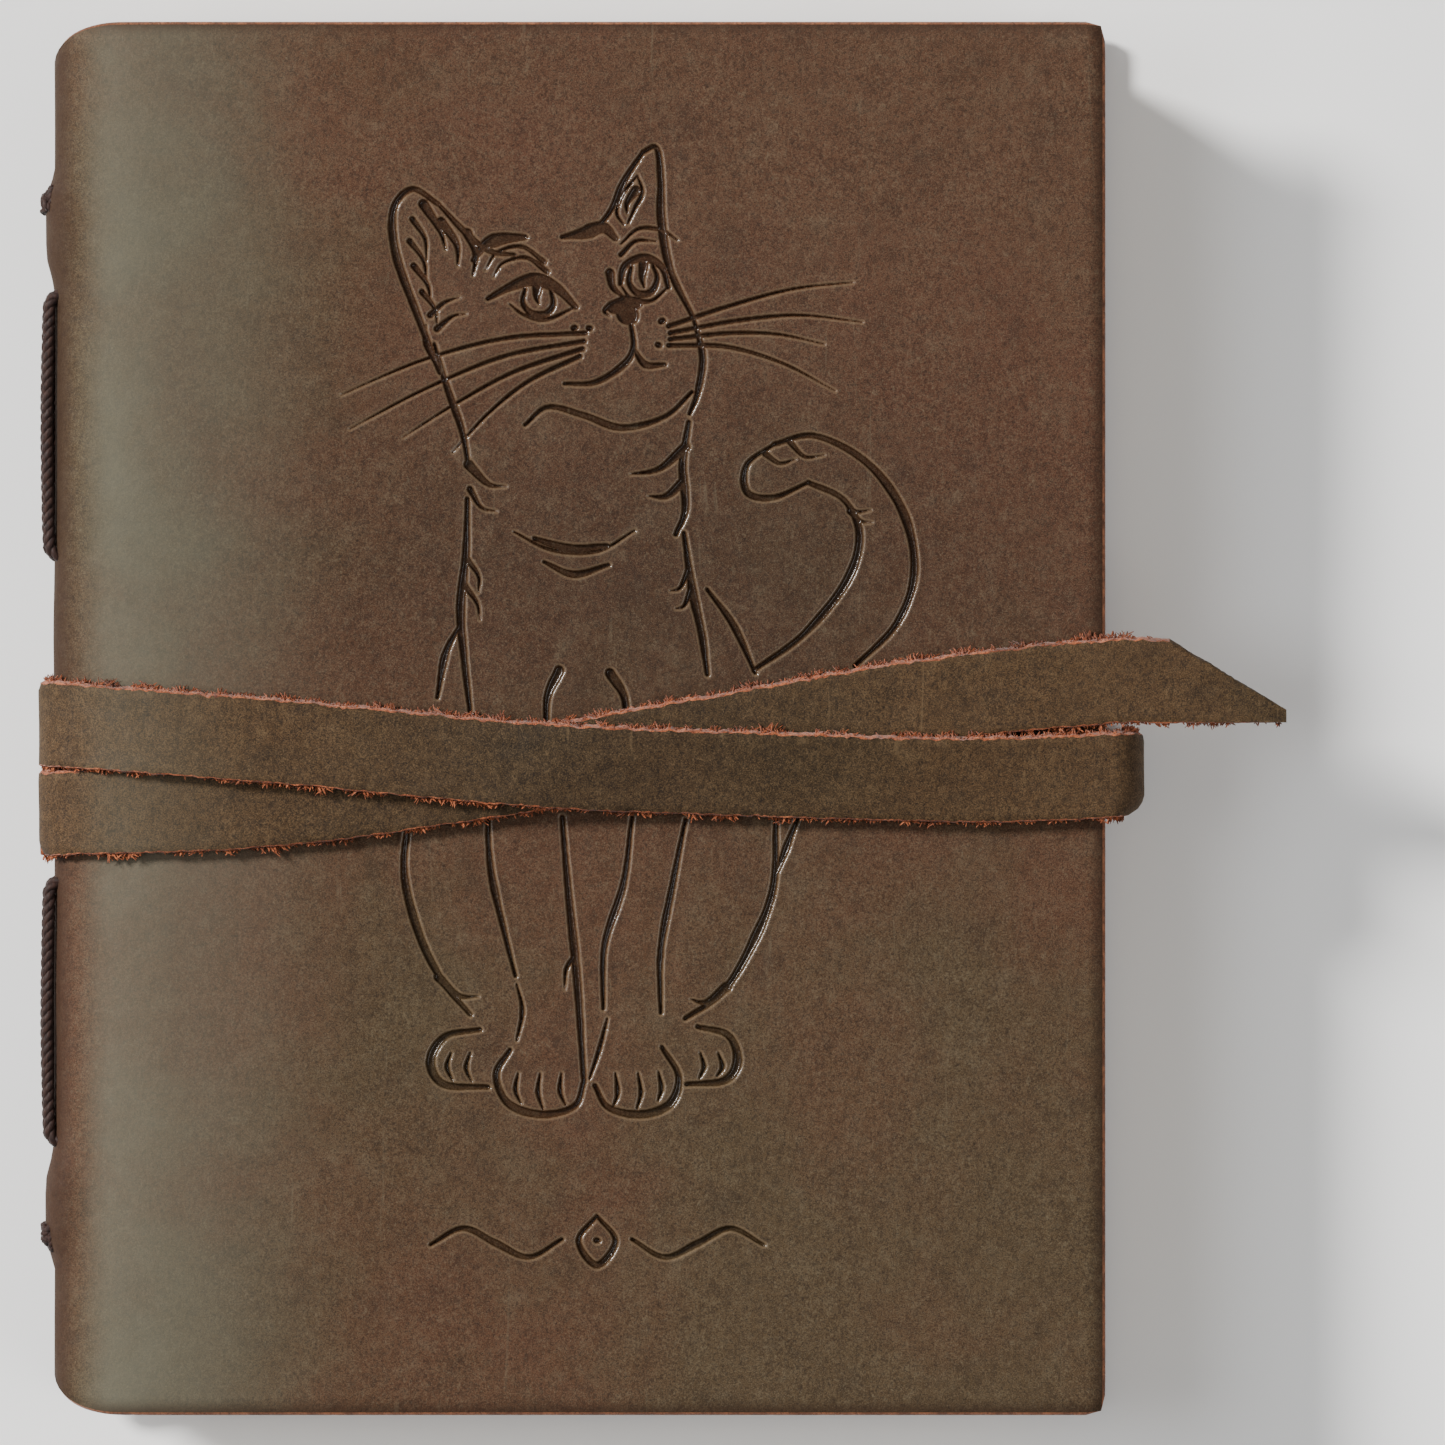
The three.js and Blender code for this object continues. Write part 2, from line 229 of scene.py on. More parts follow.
class Nodes:
    """Short calls for building one material's node tree."""

    def __init__(self, name):
        self.material = bpy.data.materials.new(name)
        self.material.use_nodes = True
        self.tree = self.material.node_tree
        self.tree.nodes.clear()
        self.shader = self.node("BsdfPrincipled")
        self.node("OutputMaterial", Surface=self.shader.outputs[0])
        self.place = self.node("TexCoord").outputs["Object"]

    def link(self, value, socket):
        if isinstance(value, bpy.types.NodeSocket):
            self.tree.links.new(value, socket)
        else:
            socket.default_value = value

    def node(self, kind, **inputs):
        """A new node with its inputs linked or set; an underscore stands for a space in their names."""
        made = self.tree.nodes.new(f"ShaderNode{kind}")
        for name, value in inputs.items():
            self.link(value, made.inputs[name.replace("_", " ")])
        return made

    def noise(self, scale, detail=3.0, rough=0.55, stretch=None, distortion=0.0, turn=0.0):
        """Noise on object coordinates, which stretch scales once they are turned about Z by turn degrees."""
        place = self.place
        if stretch is not None:
            angles = (0.0, 0.0, math.radians(turn))
            place = self.node("Mapping", Vector=place, Rotation=angles, Scale=stretch).outputs[0]
        settings = {"Scale": scale, "Detail": detail, "Roughness": rough, "Distortion": distortion}
        return self.node("TexNoise", Vector=place, **settings).outputs["Fac"]

    def cells(self, scale):
        node = self.node("TexVoronoi", Vector=self.place, Scale=scale)
        node.feature = "SMOOTH_F1"
        return node.outputs["Distance"]

    def attribute(self, name):
        node = self.node("Attribute")
        node.attribute_name = name
        return node.outputs["Fac"]

    def ramp(self, value, low, high, to_low=0.0, to_high=1.0):
        limits = {"From_Min": low, "From_Max": high, "To_Min": to_low, "To_Max": to_high}
        node = self.node("MapRange", Value=value, **limits)
        node.interpolation_type = "SMOOTHSTEP"
        return node.outputs[0]

    def math(self, operation, a, b):
        node = self.node("Math")
        node.operation = operation
        self.link(a, node.inputs[0])
        self.link(b, node.inputs[1])
        return node.outputs[0]

    def mix(self, factor, a, b):
        node = self.node("Mix")
        node.data_type = "RGBA"
        self.link(factor, node.inputs["Factor"])
        self.link(a, node.inputs[6])
        self.link(b, node.inputs[7])
        return node.outputs[2]

    def tint(self, color, value, low, high, amount, other):
        """Mixes up to amount of another colour in, as value goes from low to high."""
        return self.mix(self.ramp(value, low, high, 0, amount), color, other)

    def bump(self, height, strength, distance, normal=None):
        node = self.node("Bump", Strength=strength, Distance=distance, Height=height)
        if normal is not None:
            self.link(normal, node.inputs["Normal"])
        return node.outputs[0]

    def finish(self, color, roughness, normal, specular, sheen=0.0):
        """Wires the shader; specular and sheen are the same all over."""
        self.link(color, self.shader.inputs["Base Color"])
        self.link(roughness, self.shader.inputs["Roughness"])
        self.shader.inputs["Specular IOR Level"].default_value = specular
        self.shader.inputs["Sheen Weight"].default_value = sheen
        self.shader.inputs["Sheen Roughness"].default_value = 0.45
        if normal is not None:
            self.link(normal, self.shader.inputs["Normal"])
        return self.material


def rgb(r, g, b):
    """An sRGB colour of 0 to 255 as linear light."""
    linear = [((v / 255 + 0.055) / 1.055) ** 2.4 for v in (r, g, b)]
    return (*linear, 1.0)


RUDDY_DYE = rgb(80, 48, 34)
DARKER_MIDDLE_TONE = rgb(36, 26, 13)
# Painted sheen: the greyish band along the spine's rolled shoulder stands for the light's sheen there as well
# as lighter pulled leather.
PULL_AND_PAINTED_SHEEN_TONE = rgb(92, 91, 78)
WORN_EDGE = rgb(44, 27, 17)
# Painted highlight: the pale rim round the pressed lines stands for the light's glint on the groove walls as
# well as stretch of the leather.
STRETCH_AND_PAINTED_HIGHLIGHT_TONE = rgb(126, 108, 86)


def grain_leather(name, warm, olive, pulled, pressed, wear=1.0, grit=0.5):
    """Waxed leather that lightens where pulled: slow shifts of tone, fine specks and scuffs, darker where it
    was pressed; it also carries painted shade in the pressed lines, a painted highlight on their rims and a
    painted sheen along the spine's shoulder.

    wear is how strongly it is mottled and grit how strong its fine specks are.
    """
    n = Nodes(name)
    drift = n.noise(9, 2, 0.5, distortion=0.3)
    blotches = n.noise(38, 4, 0.55, distortion=0.4)
    patches = n.noise(150, 4, 0.65)
    mottle = n.noise(640, 3, 0.6)
    specks = n.noise(2600, 2, 0.6)
    tone = n.math("ADD", n.math("MULTIPLY", drift, 0.65), n.math("MULTIPLY", blotches, 0.35))
    color = n.mix(n.ramp(tone, 0.4, 0.6), warm, olive)
    color = n.mix(n.math("MULTIPLY", n.attribute("ruddy"), 0.6), color, RUDDY_DYE)
    color = n.mix(n.math("MULTIPLY", n.attribute("dark"), 0.5), color, DARKER_MIDDLE_TONE)
    lighter = n.mix(0.5, color, pulled)
    color = n.tint(color, patches, 0.52, 0.8, 0.4 * wear, lighter)
    color = n.tint(color, mottle, 0.45, 0.75, 0.3 * wear, lighter)
    darker = n.mix(0.6, color, pressed)
    color = n.tint(color, patches, 0.48, 0.28, 0.4 * wear, darker)
    color = n.tint(color, mottle, 0.48, 0.28, 0.5, darker)
    color = n.tint(color, specks, 0.5, 0.32, 0.8, darker)
    color = n.tint(color, specks, 0.58, 0.76, 0.3, pulled)
    grains = n.noise(5600, 2, 0.7)
    streaks = n.noise(1500, 3, 0.7, stretch=(1.0, 0.6, 1.0), distortion=1.2, turn=-38)
    color = n.tint(color, grains, 0.52, 0.36, grit, pressed)
    color = n.tint(color, grains, 0.52, 0.7, grit * 0.8, pulled)
    color = n.tint(color, streaks, 0.5, 0.36, grit * 0.6, pressed)
    color = n.tint(color, streaks, 0.56, 0.7, grit * 0.4, pulled)
    # Painted sheen: a greyish band along the rolled shoulder by the spine, partly lighter pulled leather.
    uneven = n.math("MULTIPLY", n.attribute("pull"), n.ramp(blotches, 0.25, 0.75, 0.42, 0.66))
    color = n.mix(uneven, color, PULL_AND_PAINTED_SHEEN_TONE)
    color = n.tint(color, n.attribute("edge"), 0.1, 1.0, 0.72, WORN_EDGE)
    # Painted highlight round the rims of the pressed lines, partly stretch of the leather.
    color = n.tint(color, n.attribute("stretched"), 0.2, 0.9, 0.27, STRETCH_AND_PAINTED_HIGHLIGHT_TONE)
    # Painted shade: the inside of each pressed line is darkened, partly for the darker pressed leather.
    color = n.tint(color, n.attribute("press"), 0.05, 0.9, 0.5, pressed)
    for turn in (24, -57):
        scratch = n.noise(330, 3, 0.7, stretch=(1.0, 0.07, 1.0), distortion=1.0, turn=turn)
        color = n.tint(color, scratch, 0.67, 0.76, 0.22 * wear, pulled)
    roughness = n.ramp(n.noise(420, 3), 0.3, 0.7, 0.74, 0.82)
    burnish = n.ramp(n.attribute("burnish"), 0.0, 1.0, 1.0, 0.18)
    roughness = n.math("MULTIPLY", roughness, burnish)
    pebbles = n.cells(1500)
    height = n.math("ADD", n.math("MULTIPLY", pebbles, 0.6), n.math("MULTIPLY", specks, 0.9))
    normal = n.bump(height, 0.18 + 0.2 * grit, 0.00012)
    normal = n.bump(mottle, 0.12 * wear, 0.0003, normal)
    return n.finish(color, roughness, normal, 0.2)


def suede(name, base, dark, light):
    """The flesh side of leather and raw cut edges: short matted fibres."""
    n = Nodes(name)
    clumps = n.noise(420, 4, 0.65)
    fibres = n.noise(3200, 3, 0.7, stretch=(1.0, 0.35, 1.0), distortion=0.6)
    color = n.mix(n.ramp(clumps, 0.35, 0.65), base, light)
    color = n.tint(color, fibres, 0.55, 0.3, 0.8, dark)
    height = n.math("ADD", clumps, fibres)
    normal = n.bump(height, 0.6, 0.0003)
    return n.finish(color, 0.93, normal, 0.12, 0.25)


def raw_edge(name, rust, dark, pale):
    """A torn, unfinished cut edge: rust fibres with dark gaps and pale worn tips."""
    n = Nodes(name)
    clumps = n.noise(900, 3, 0.6)
    fibres = n.noise(4200, 3, 0.7, distortion=0.8)
    stretches = n.noise(110, 3, 0.6)
    color = n.mix(n.ramp(clumps, 0.4, 0.68), rust, pale)
    color = n.tint(color, fibres, 0.56, 0.36, 0.85, dark)
    color = n.tint(color, clumps, 0.46, 0.3, 0.75, dark)
    color = n.tint(color, stretches, 0.5, 0.3, 0.6, dark)
    height = n.math("ADD", clumps, fibres)
    return n.finish(color, 0.9, n.bump(height, 0.7, 0.0003), 0.15, 0.2)


def paper_material():
    n = Nodes("cream_paper")
    pulp = n.noise(900, 4, 0.65)
    clouds = n.noise(45, 3, 0.5)
    flecks = n.noise(2600, 2, 0.7, stretch=(1.0, 0.3, 1.0))
    color = n.mix(n.ramp(clouds, 0.3, 0.7), rgb(226, 212, 184), rgb(214, 197, 164))
    color = n.tint(color, pulp, 0.6, 0.3, 0.35, rgb(190, 170, 134))
    color = n.tint(color, flecks, 0.68, 0.8, 0.5, rgb(150, 122, 86))
    normal = n.bump(pulp, 0.25, 0.00012)
    return n.finish(color, 0.92, normal, 0.2, 0.05)


def thread_material():
    n = Nodes("waxed_cord")
    strand = n.noise(2600, 3, 0.6, stretch=(1.0, 0.4, 1.0))
    wax = n.noise(700, 3, 0.6)
    color = n.mix(n.ramp(strand, 0.3, 0.7), rgb(26, 14, 12), rgb(48, 29, 23))
    color = n.tint(color, wax, 0.6, 0.8, 0.4, rgb(66, 46, 37))
    normal = n.bump(strand, 0.5, 0.0002)
    return n.finish(color, n.ramp(wax, 0.3, 0.7, 0.6, 0.78), normal, 0.22, 0.05)


cover_leather = grain_leather(
    "cover_leather", rgb(75, 48, 31), rgb(68, 53, 34), rgb(98, 90, 72), rgb(22, 14, 9)
)
strap_leather = grain_leather(
    "strap_leather", rgb(70, 50, 29), rgb(57, 43, 23), rgb(98, 80, 56), rgb(14, 9, 5), 1.5, 0.7
)
cover_suede = suede("cover_flesh_side", rgb(128, 88, 60), rgb(78, 50, 32), rgb(158, 116, 82))
cover_edge = suede("cover_cut_edge", rgb(98, 60, 40), rgb(56, 34, 24), rgb(136, 86, 58))
strap_suede = suede("strap_flesh_side", rgb(150, 88, 62), rgb(88, 48, 32), rgb(182, 116, 84))
strap_edge = raw_edge("strap_cut_edge", rgb(148, 80, 50), rgb(58, 30, 19), rgb(178, 106, 70))
cream_paper = paper_material()
waxed_cord = thread_material()

# ---------------------------------------------------------------- cover profile
# The cover's outer line in the XZ plane: back fore-edge, round the spine, front fore-edge.
# Each shoulder is a superellipse, which rolls over more gently than an arc.
SHOULDER_X = 20.0
SHOULDER_Z = 8.0
SHOULDER_POWER = 2.3


def rolled_over(t, power):
    """How far a superellipse has dropped, from 0 to 1, at share t of its half width."""
    return 1 - (1 - t**power) ** (1 / power)


def shoulder_drop(x):
    """How far the cover's face lies below its full height at x, near the spine."""
    t = np.clip((SPINE_X + SHOULDER_X - x) / SHOULDER_X, 0.0, 1.0)
    return SHOULDER_Z * rolled_over(t, SHOULDER_POWER)


def cover_outline():
    angles = np.linspace(0, math.pi / 2, 60)
    round_x = SHOULDER_X * np.sin(angles) ** (2 / SHOULDER_POWER)
    round_z = SHOULDER_Z * np.cos(angles) ** (2 / SHOULDER_POWER)
    centre = SPINE_X + SHOULDER_X
    lower = [(centre - a, BACK_BOTTOM + SHOULDER_Z - b) for a, b in zip(round_x, round_z)]
    upper = [(centre - a, FRONT_TOP - SHOULDER_Z + b) for a, b in zip(round_x, round_z)]
    return [(FORE_X, BACK_BOTTOM), *lower, *upper[::-1], (FORE_X, FRONT_TOP)]


outline = resample(cover_outline(), 0.25)
outline_steps = np.linalg.norm(np.diff(outline, axis=0), axis=1)
outline_along = np.concatenate([[0], np.cumsum(outline_steps)])
OUTLINE_LENGTH = outline_along[-1]
outline_tangent = directions(outline)


def on_outline(u):
    """Position and outward normal at arc length u along the cover's outer line."""
    x = np.interp(u, outline_along, outline[:, 0])
    z = np.interp(u, outline_along, outline[:, 1])
    tx = np.interp(u, outline_along, outline_tangent[:, 0])
    tz = np.interp(u, outline_along, outline_tangent[:, 1])
    length = math.hypot(tx, tz)
    return x, z, -tz / length, tx / length


# ---------------------------------------------------------------- tooled picture on the front cover
# A plain sitting cat and a small flourish below it, pressed as lines into the leather.
# A pen is the half width of a line at its start, middle and end. Points are millimetres from the
# middle of the cover.
LINE = (0.26, 0.52, 0.26)
BOLD = (0.34, 0.64, 0.34)
FINE = (0.14, 0.34, 0.14)
HAIR = (0.36, 0.28, 0.1)
WEDGE = (0.7, 0.46, 0.1)
FLICK = (0.46, 0.28, 0.08)
DOT = (0.42, 0.42, 0.42)
BROAD = (0.3, 1.0, 0.4)
PAD = (0.9, 1.5, 0.8)
CAT_LINES = [
    # left ear
    (BOLD, [(-20.4, 50.4), (-23.6, 58.6), (-26.8, 67.6), (-27.2, 74.2), (-24.4, 77.2), (-20.6, 75.0)]),
    (LINE, [(-20.6, 75.0), (-16.6, 70.8), (-13.2, 68.2), (-9.4, 67.6)]),
    (BROAD, [(-15.6, 66.8), (-13.6, 69.2), (-11.0, 70.0), (-8.0, 70.2)]),
    (WEDGE, [(-16.4, 70.8), (-15.2, 67.8), (-15.6, 64.6)]),
    (FLICK, [(-24.4, 72.8), (-22.6, 70.0), (-22.4, 66.8)]),
    (FLICK, [(-24.8, 69.6), (-22.8, 66.8), (-22.4, 63.8)]),
    (FLICK, [(-24.2, 66.0), (-22.2, 63.2), (-21.8, 60.4)]),
    (FLICK, [(-23.0, 62.2), (-21.2, 59.8), (-20.8, 57.2)]),
    (FLICK, [(-21.8, 58.8), (-19.8, 60.6), (-17.6, 61.4)]),
    (FLICK, [(-20.8, 56.8), (-18.6, 58.6), (-16.6, 59.0)]),
    (WEDGE, [(-22.8, 75.0), (-20.4, 71.2), (-19.6, 68.4)]),
    (WEDGE, [(-20.2, 72.4), (-18.0, 69.2), (-17.8, 66.0)]),
    # right ear
    (BROAD, [(-2.6, 70.2), (0.6, 70.8), (3.4, 71.6), (5.2, 70.0)]),
    (LINE, [(2.4, 71.4), (4.6, 74.2), (6.6, 78.6), (9.2, 82.6)]),
    (BOLD, [(9.2, 82.6), (11.2, 83.2), (11.8, 78.8), (11.9, 72.6), (13.2, 65.4), (16.6, 58.4)]),
    (FINE, [(8.4, 79.2), (6.2, 76.4), (5.4, 73.8), (6.4, 72.0)]),
    (FINE, [(8.4, 79.2), (9.1, 76.8), (8.0, 74.4), (7.0, 72.2)]),
    (WEDGE, [(8.2, 77.0), (6.9, 75.2), (6.9, 73.6)]),
    # cheeks
    (LINE, [(16.6, 58.4), (17.9, 52.8), (17.2, 47.6), (16.0, 44.4)]),
    (LINE, [(-21.2, 54.6), (-19.4, 48.4), (-17.2, 42.0), (-16.2, 36.6)]),
    (FLICK, [(-21.2, 52.4), (-22.6, 54.8), (-22.4, 57.4)]),
    # brows
    (HAIR, [(-5.2, 66.6), (-8.4, 68.8), (-12.0, 68.0), (-13.8, 65.4)]),
    (HAIR, [(-4.8, 65.2), (-7.8, 67.2), (-11.2, 66.4), (-12.6, 64.4)]),
    (FINE, [(6.0, 69.2), (8.6, 71.4), (12.0, 71.2), (14.2, 69.8)]),
    (HAIR, [(6.0, 67.6), (8.2, 69.6), (11.2, 69.6)]),
    # left eye
    (BROAD, [(-13.4, 61.2), (-10.4, 62.8), (-6.8, 64.0), (-3.4, 62.8), (-0.6, 60.0)]),
    (FINE, [(-10.2, 60.4), (-8.0, 58.8), (-4.8, 58.2), (-0.6, 60.0)]),
    (LINE, [(-8.0, 62.6), (-8.3, 60.6), (-7.0, 59.1), (-5.0, 59.0), (-3.9, 60.4), (-4.2, 62.4)]),
    (WEDGE, [(-6.2, 62.8), (-6.3, 61.4), (-6.0, 60.4)]),
    # right eye
    (BOLD, [(5.9, 63.4), (6.6, 66.0), (9.4, 67.2), (12.0, 65.8), (12.9, 62.9)]),
    (WEDGE, [(4.4, 65.0), (4.9, 62.8), (6.8, 61.2)]),
    (FINE, [(5.9, 63.4), (7.6, 61.2), (10.4, 60.9), (12.9, 62.9)]),
    (LINE, [(7.5, 65.8), (7.2, 63.6), (8.5, 62.0), (10.4, 62.2), (11.3, 64.2), (10.7, 66.0)]),
    (WEDGE, [(9.3, 66.2), (9.1, 64.2), (9.4, 62.8)]),
    # nose and mouth
    (PAD, [(4.9, 60.0), (6.6, 60.2), (8.4, 60.6)]),
    (PAD, [(6.2, 59.4), (7.2, 58.8), (7.6, 58.4)]),
    (FLICK, [(4.4, 60.2), (3.6, 59.4), (4.4, 58.6)]),
    (LINE, [(7.4, 58.0), (7.8, 54.0), (6.2, 51.4), (2.2, 49.0), (-2.2, 48.8)]),
    (LINE, [(7.8, 54.0), (9.6, 51.6), (12.4, 51.6)]),
    # whiskers, with the pads they grow from
    (HAIR, [(0.8, 56.2), (-11, 55.4), (-23, 52.2), (-34.8, 47.2)]),
    (HAIR, [(0.6, 55.0), (-11, 52.8), (-22.6, 48.0), (-33.6, 42.2)]),
    (HAIR, [(0.4, 53.9), (-9.4, 50.6), (-17.6, 46.2), (-25.8, 41.0)]),
    (HAIR, [(0.0, 52.8), (-7.4, 49.2), (-13.2, 44.6), (-18.6, 38.8)]),
    (HAIR, [(13.0, 57.2), (22, 60.2), (31, 62.6), (39.8, 63.6)]),
    (HAIR, [(13.2, 56.2), (23, 58.0), (32, 58.8), (41.2, 57.8)]),
    (HAIR, [(13.2, 55.3), (22, 56.2), (29, 56.0), (35.6, 54.6)]),
    (HAIR, [(13.0, 54.4), (21.4, 54.2), (29.6, 51.8), (37.2, 47.8)]),
    (DOT, [(1.5, 56.9), (1.3, 56.9)]),
    (DOT, [(-0.7, 57.0), (-0.9, 56.9)]),
    (DOT, [(11.9, 57.9), (12.1, 58.0)]),
    (DOT, [(11.4, 54.5), (11.6, 54.4)]),
    # chin and neck
    (LINE, [(-8.0, 42.8), (-4.6, 45.4), (0.6, 44.2), (6.2, 42.4), (12.4, 44.0), (16.4, 47.6)]),
    (WEDGE, [(-16.2, 37.0), (-13.4, 34.2), (-10.8, 33.8)]),
    (FLICK, [(-16.0, 33.4), (-14.4, 30.8), (-12.2, 30.2)]),
    (BOLD, [(15.9, 43.2), (15.0, 37.0), (15.4, 30.6), (14.0, 26.8)]),
    (WEDGE, [(15.4, 39.6), (11.6, 36.4), (7.4, 35.6)]),
    (WEDGE, [(15.0, 34.4), (12.6, 32.4), (10.0, 32.4)]),
    (FINE, [(-9.6, 27.2), (-4.2, 24.6), (2.6, 24.4), (8.0, 27.4)]),
    (BOLD, [(-6.6, 26.2), (-1.4, 24.8), (4.0, 25.2)]),
    (LINE, [(-5.2, 22.8), (-0.8, 21.0), (4.2, 22.4)]),
    # body sides
    (BOLD, [(-16.4, 32.0), (-16.6, 24.4), (-17.4, 15.8), (-16.8, 8.0), (-16.0, 1.0)]),
    (FLICK, [(-16.6, 23.4), (-14.8, 20.8), (-14.8, 18.4)]),
    (FLICK, [(-16.8, 19.4), (-15.0, 16.8), (-14.6, 14.4)]),
    (BOLD, [(15.2, 27.0), (16.4, 18.8), (17.8, 12.2), (18.6, 6.4)]),
    (FLICK, [(15.8, 21.4), (14.6, 19.0), (13.2, 18.6)]),
    (FLICK, [(16.2, 18.6), (15.2, 16.4), (14.0, 16.0)]),
    (LINE, [(18.6, 18.8), (22.4, 13.6), (25.6, 6.6)]),
    (LINE, [(-17.6, 13.4), (-19.6, 9.4), (-20.8, 3.0)]),
    # tail
    (BOLD, [(40.2, 7.6), (46.2, 13.8), (48.8, 21.4), (47.2, 30.0), (42.0, 37.2), (34.4, 41.2), (28.4, 40.0)]),
    (LINE, [(28.4, 40.0), (24.4, 37.0), (24.4, 33.0), (28.2, 32.2), (33.4, 34.4)]),
    (BOLD, [(33.4, 34.4), (38.6, 31.8), (40.8, 26.6), (38.8, 19.8), (32.6, 12.2), (25.4, 7.0)]),
    (FLICK, [(30.4, 40.6), (32.8, 38.2), (35.6, 38.4)]),
    (FLICK, [(27.0, 38.6), (29.2, 37.2), (31.4, 37.8)]),
    (FLICK, [(38.6, 31.8), (40.2, 30.2), (42.4, 30.4)]),
    (FLICK, [(39.4, 30.2), (41.0, 28.8), (42.6, 28.6)]),
    # front legs
    (WEDGE, [(-3.0, 7.0), (-4.8, 2.6), (-4.6, -4.6)]),
    (WEDGE, [(4.4, 6.6), (6.6, 2.6), (6.6, -4.6)]),
    (LINE, [(-13.6, -12.0), (-13.0, -22.0), (-11.0, -31.2), (-9.4, -37.6)]),
    (FINE, [(-9.2, -38.8), (-8.4, -42.6), (-9.2, -47.0)]),
    (BOLD, [(-2.6, -14.4), (-1.6, -26.0), (-0.4, -38.0), (0.6, -53.0)]),
    (FLICK, [(-0.6, -34.6), (-2.0, -36.6), (-2.2, -39.6)]),
    (LINE, [(7.6, -14.4), (6.4, -24.0), (3.6, -33.2), (3.4, -42.4)]),
    (FINE, [(4.0, -43.8), (2.8, -48.4), (1.4, -52.6)]),
    (LINE, [(15.4, -14.8), (13.6, -24.0), (11.8, -34.0), (11.8, -43.0)]),
    # haunches
    (BOLD, [(-25.0, -14.2), (-25.6, -22.8), (-23.4, -31.6), (-20.0, -38.4), (-16.0, -43.2)]),
    (WEDGE, [(-20.6, -37.8), (-17.8, -40.4), (-14.8, -40.6)]),
    (BOLD, [(28.6, -14.2), (28.2, -24.8), (24.8, -33.6), (20.6, -40.2), (15.4, -43.8)]),
    (LINE, [(31.8, -14.4), (30.0, -19.2), (28.2, -23.8)]),
    (WEDGE, [(21.4, -39.2), (18.4, -41.4), (16.2, -41.0)]),
    # back paws
    (BOLD, [(-14.6, -45.4), (-19.6, -46.4), (-21.8, -50.0), (-19.8, -53.4), (-13.4, -53.8)]),
    (FINE, [(-18.8, -48.8), (-19.4, -50.8), (-18.6, -52.8)]),
    (FINE, [(-16.0, -48.8), (-16.6, -51.0), (-15.8, -53.0)]),
    (BOLD, [(17.2, -45.0), (21.6, -46.2), (23.0, -49.8), (21.2, -52.8), (15.6, -53.4)]),
    (FINE, [(20.2, -48.8), (20.8, -50.8), (20.0, -52.2)]),
    (FINE, [(17.6, -48.8), (18.1, -50.8), (17.4, -52.6)]),
    # front paws
    (BOLD, [(-10.2, -48.4), (-12.2, -52.0), (-10.4, -56.2), (-5.6, -57.8), (-0.8, -56.6), (0.6, -53.0)]),
    (FINE, [(-9.0, -51.8), (-9.4, -54.2), (-8.6, -56.2)]),
    (FINE, [(-5.8, -51.8), (-6.1, -54.6), (-5.4, -57.0)]),
    (FINE, [(-2.7, -51.8), (-2.9, -54.4), (-2.1, -56.4)]),
    (BOLD, [(2.2, -53.6), (4.2, -56.8), (9.0, -57.8), (13.2, -56.2), (14.4, -52.2), (12.0, -48.0)]),
    (FINE, [(5.2, -51.8), (5.5, -54.6), (4.9, -56.6)]),
    (FINE, [(8.5, -51.8), (8.9, -54.6), (8.3, -57.0)]),
    (FINE, [(11.5, -51.6), (11.9, -54.0), (11.4, -55.8)]),
    # flourish under the cat
    (LINE, [(-2.6, -76.0), (-7.4, -78.6), (-12.2, -76.6), (-17.0, -74.4), (-21.8, -76.8)]),
    (LINE, [(7.6, -76.0), (12.4, -78.6), (17.2, -76.6), (22.0, -74.4), (26.8, -76.8)]),
    (LINE, [(2.5, -72.6), (5.2, -76.2), (2.5, -79.8), (-0.2, -76.2), (2.5, -72.6)]),
    (DOT, [(2.4, -76.2), (2.6, -76.2)]),
]
LINE_SPACING = 0.16
GROOVE_DEPTH = 0.62
PILLOW_DEPTH = 0.12
LIP_HEIGHT = 0.08
# Tooling keeps off the rolled spine and off the rim of the sheet.
TOOLED_FROM_SPINE = 30
TOOLED_HALF_HEIGHT = 95
FIELD_STEP = 0.1
FIELD_REACH = 6.5


def line_field():
    """Distance to the nearest pressed line's rim on a fine grid over the cover: negative inside a line."""
    wide = int(2 * HALF_WIDTH / FIELD_STEP) + 2
    high = int(2 * HALF_HEIGHT / FIELD_STEP) + 2
    field = np.full((wide, high), FIELD_REACH)
    reach = int(FIELD_REACH / FIELD_STEP)
    for pen, points in CAT_LINES:
        line = catmull(points, LINE_SPACING)
        for i, (x, y) in enumerate(line):
            share = i / max(1, len(line) - 1)
            half_width = np.interp(share, (0, 0.5, 1), pen)
            half_width *= 1.0 + 0.14 * wobble(x, y, 3.7, 0.3)
            ci = int((x + HALF_WIDTH) / FIELD_STEP)
            cj = int((y + HALF_HEIGHT) / FIELD_STEP)
            i0, i1 = max(0, ci - reach), min(wide, ci + reach + 1)
            j0, j1 = max(0, cj - reach), min(high, cj + reach + 1)
            dx = np.arange(i0, i1) * FIELD_STEP - HALF_WIDTH - x
            dy = np.arange(j0, j1) * FIELD_STEP - HALF_HEIGHT - y
            distance = np.sqrt(dx[:, None] ** 2 + dy[None, :] ** 2) - half_width
            field[i0:i1, j0:j1] = np.minimum(field[i0:i1, j0:j1], distance)
    return field


pressed_field = line_field()


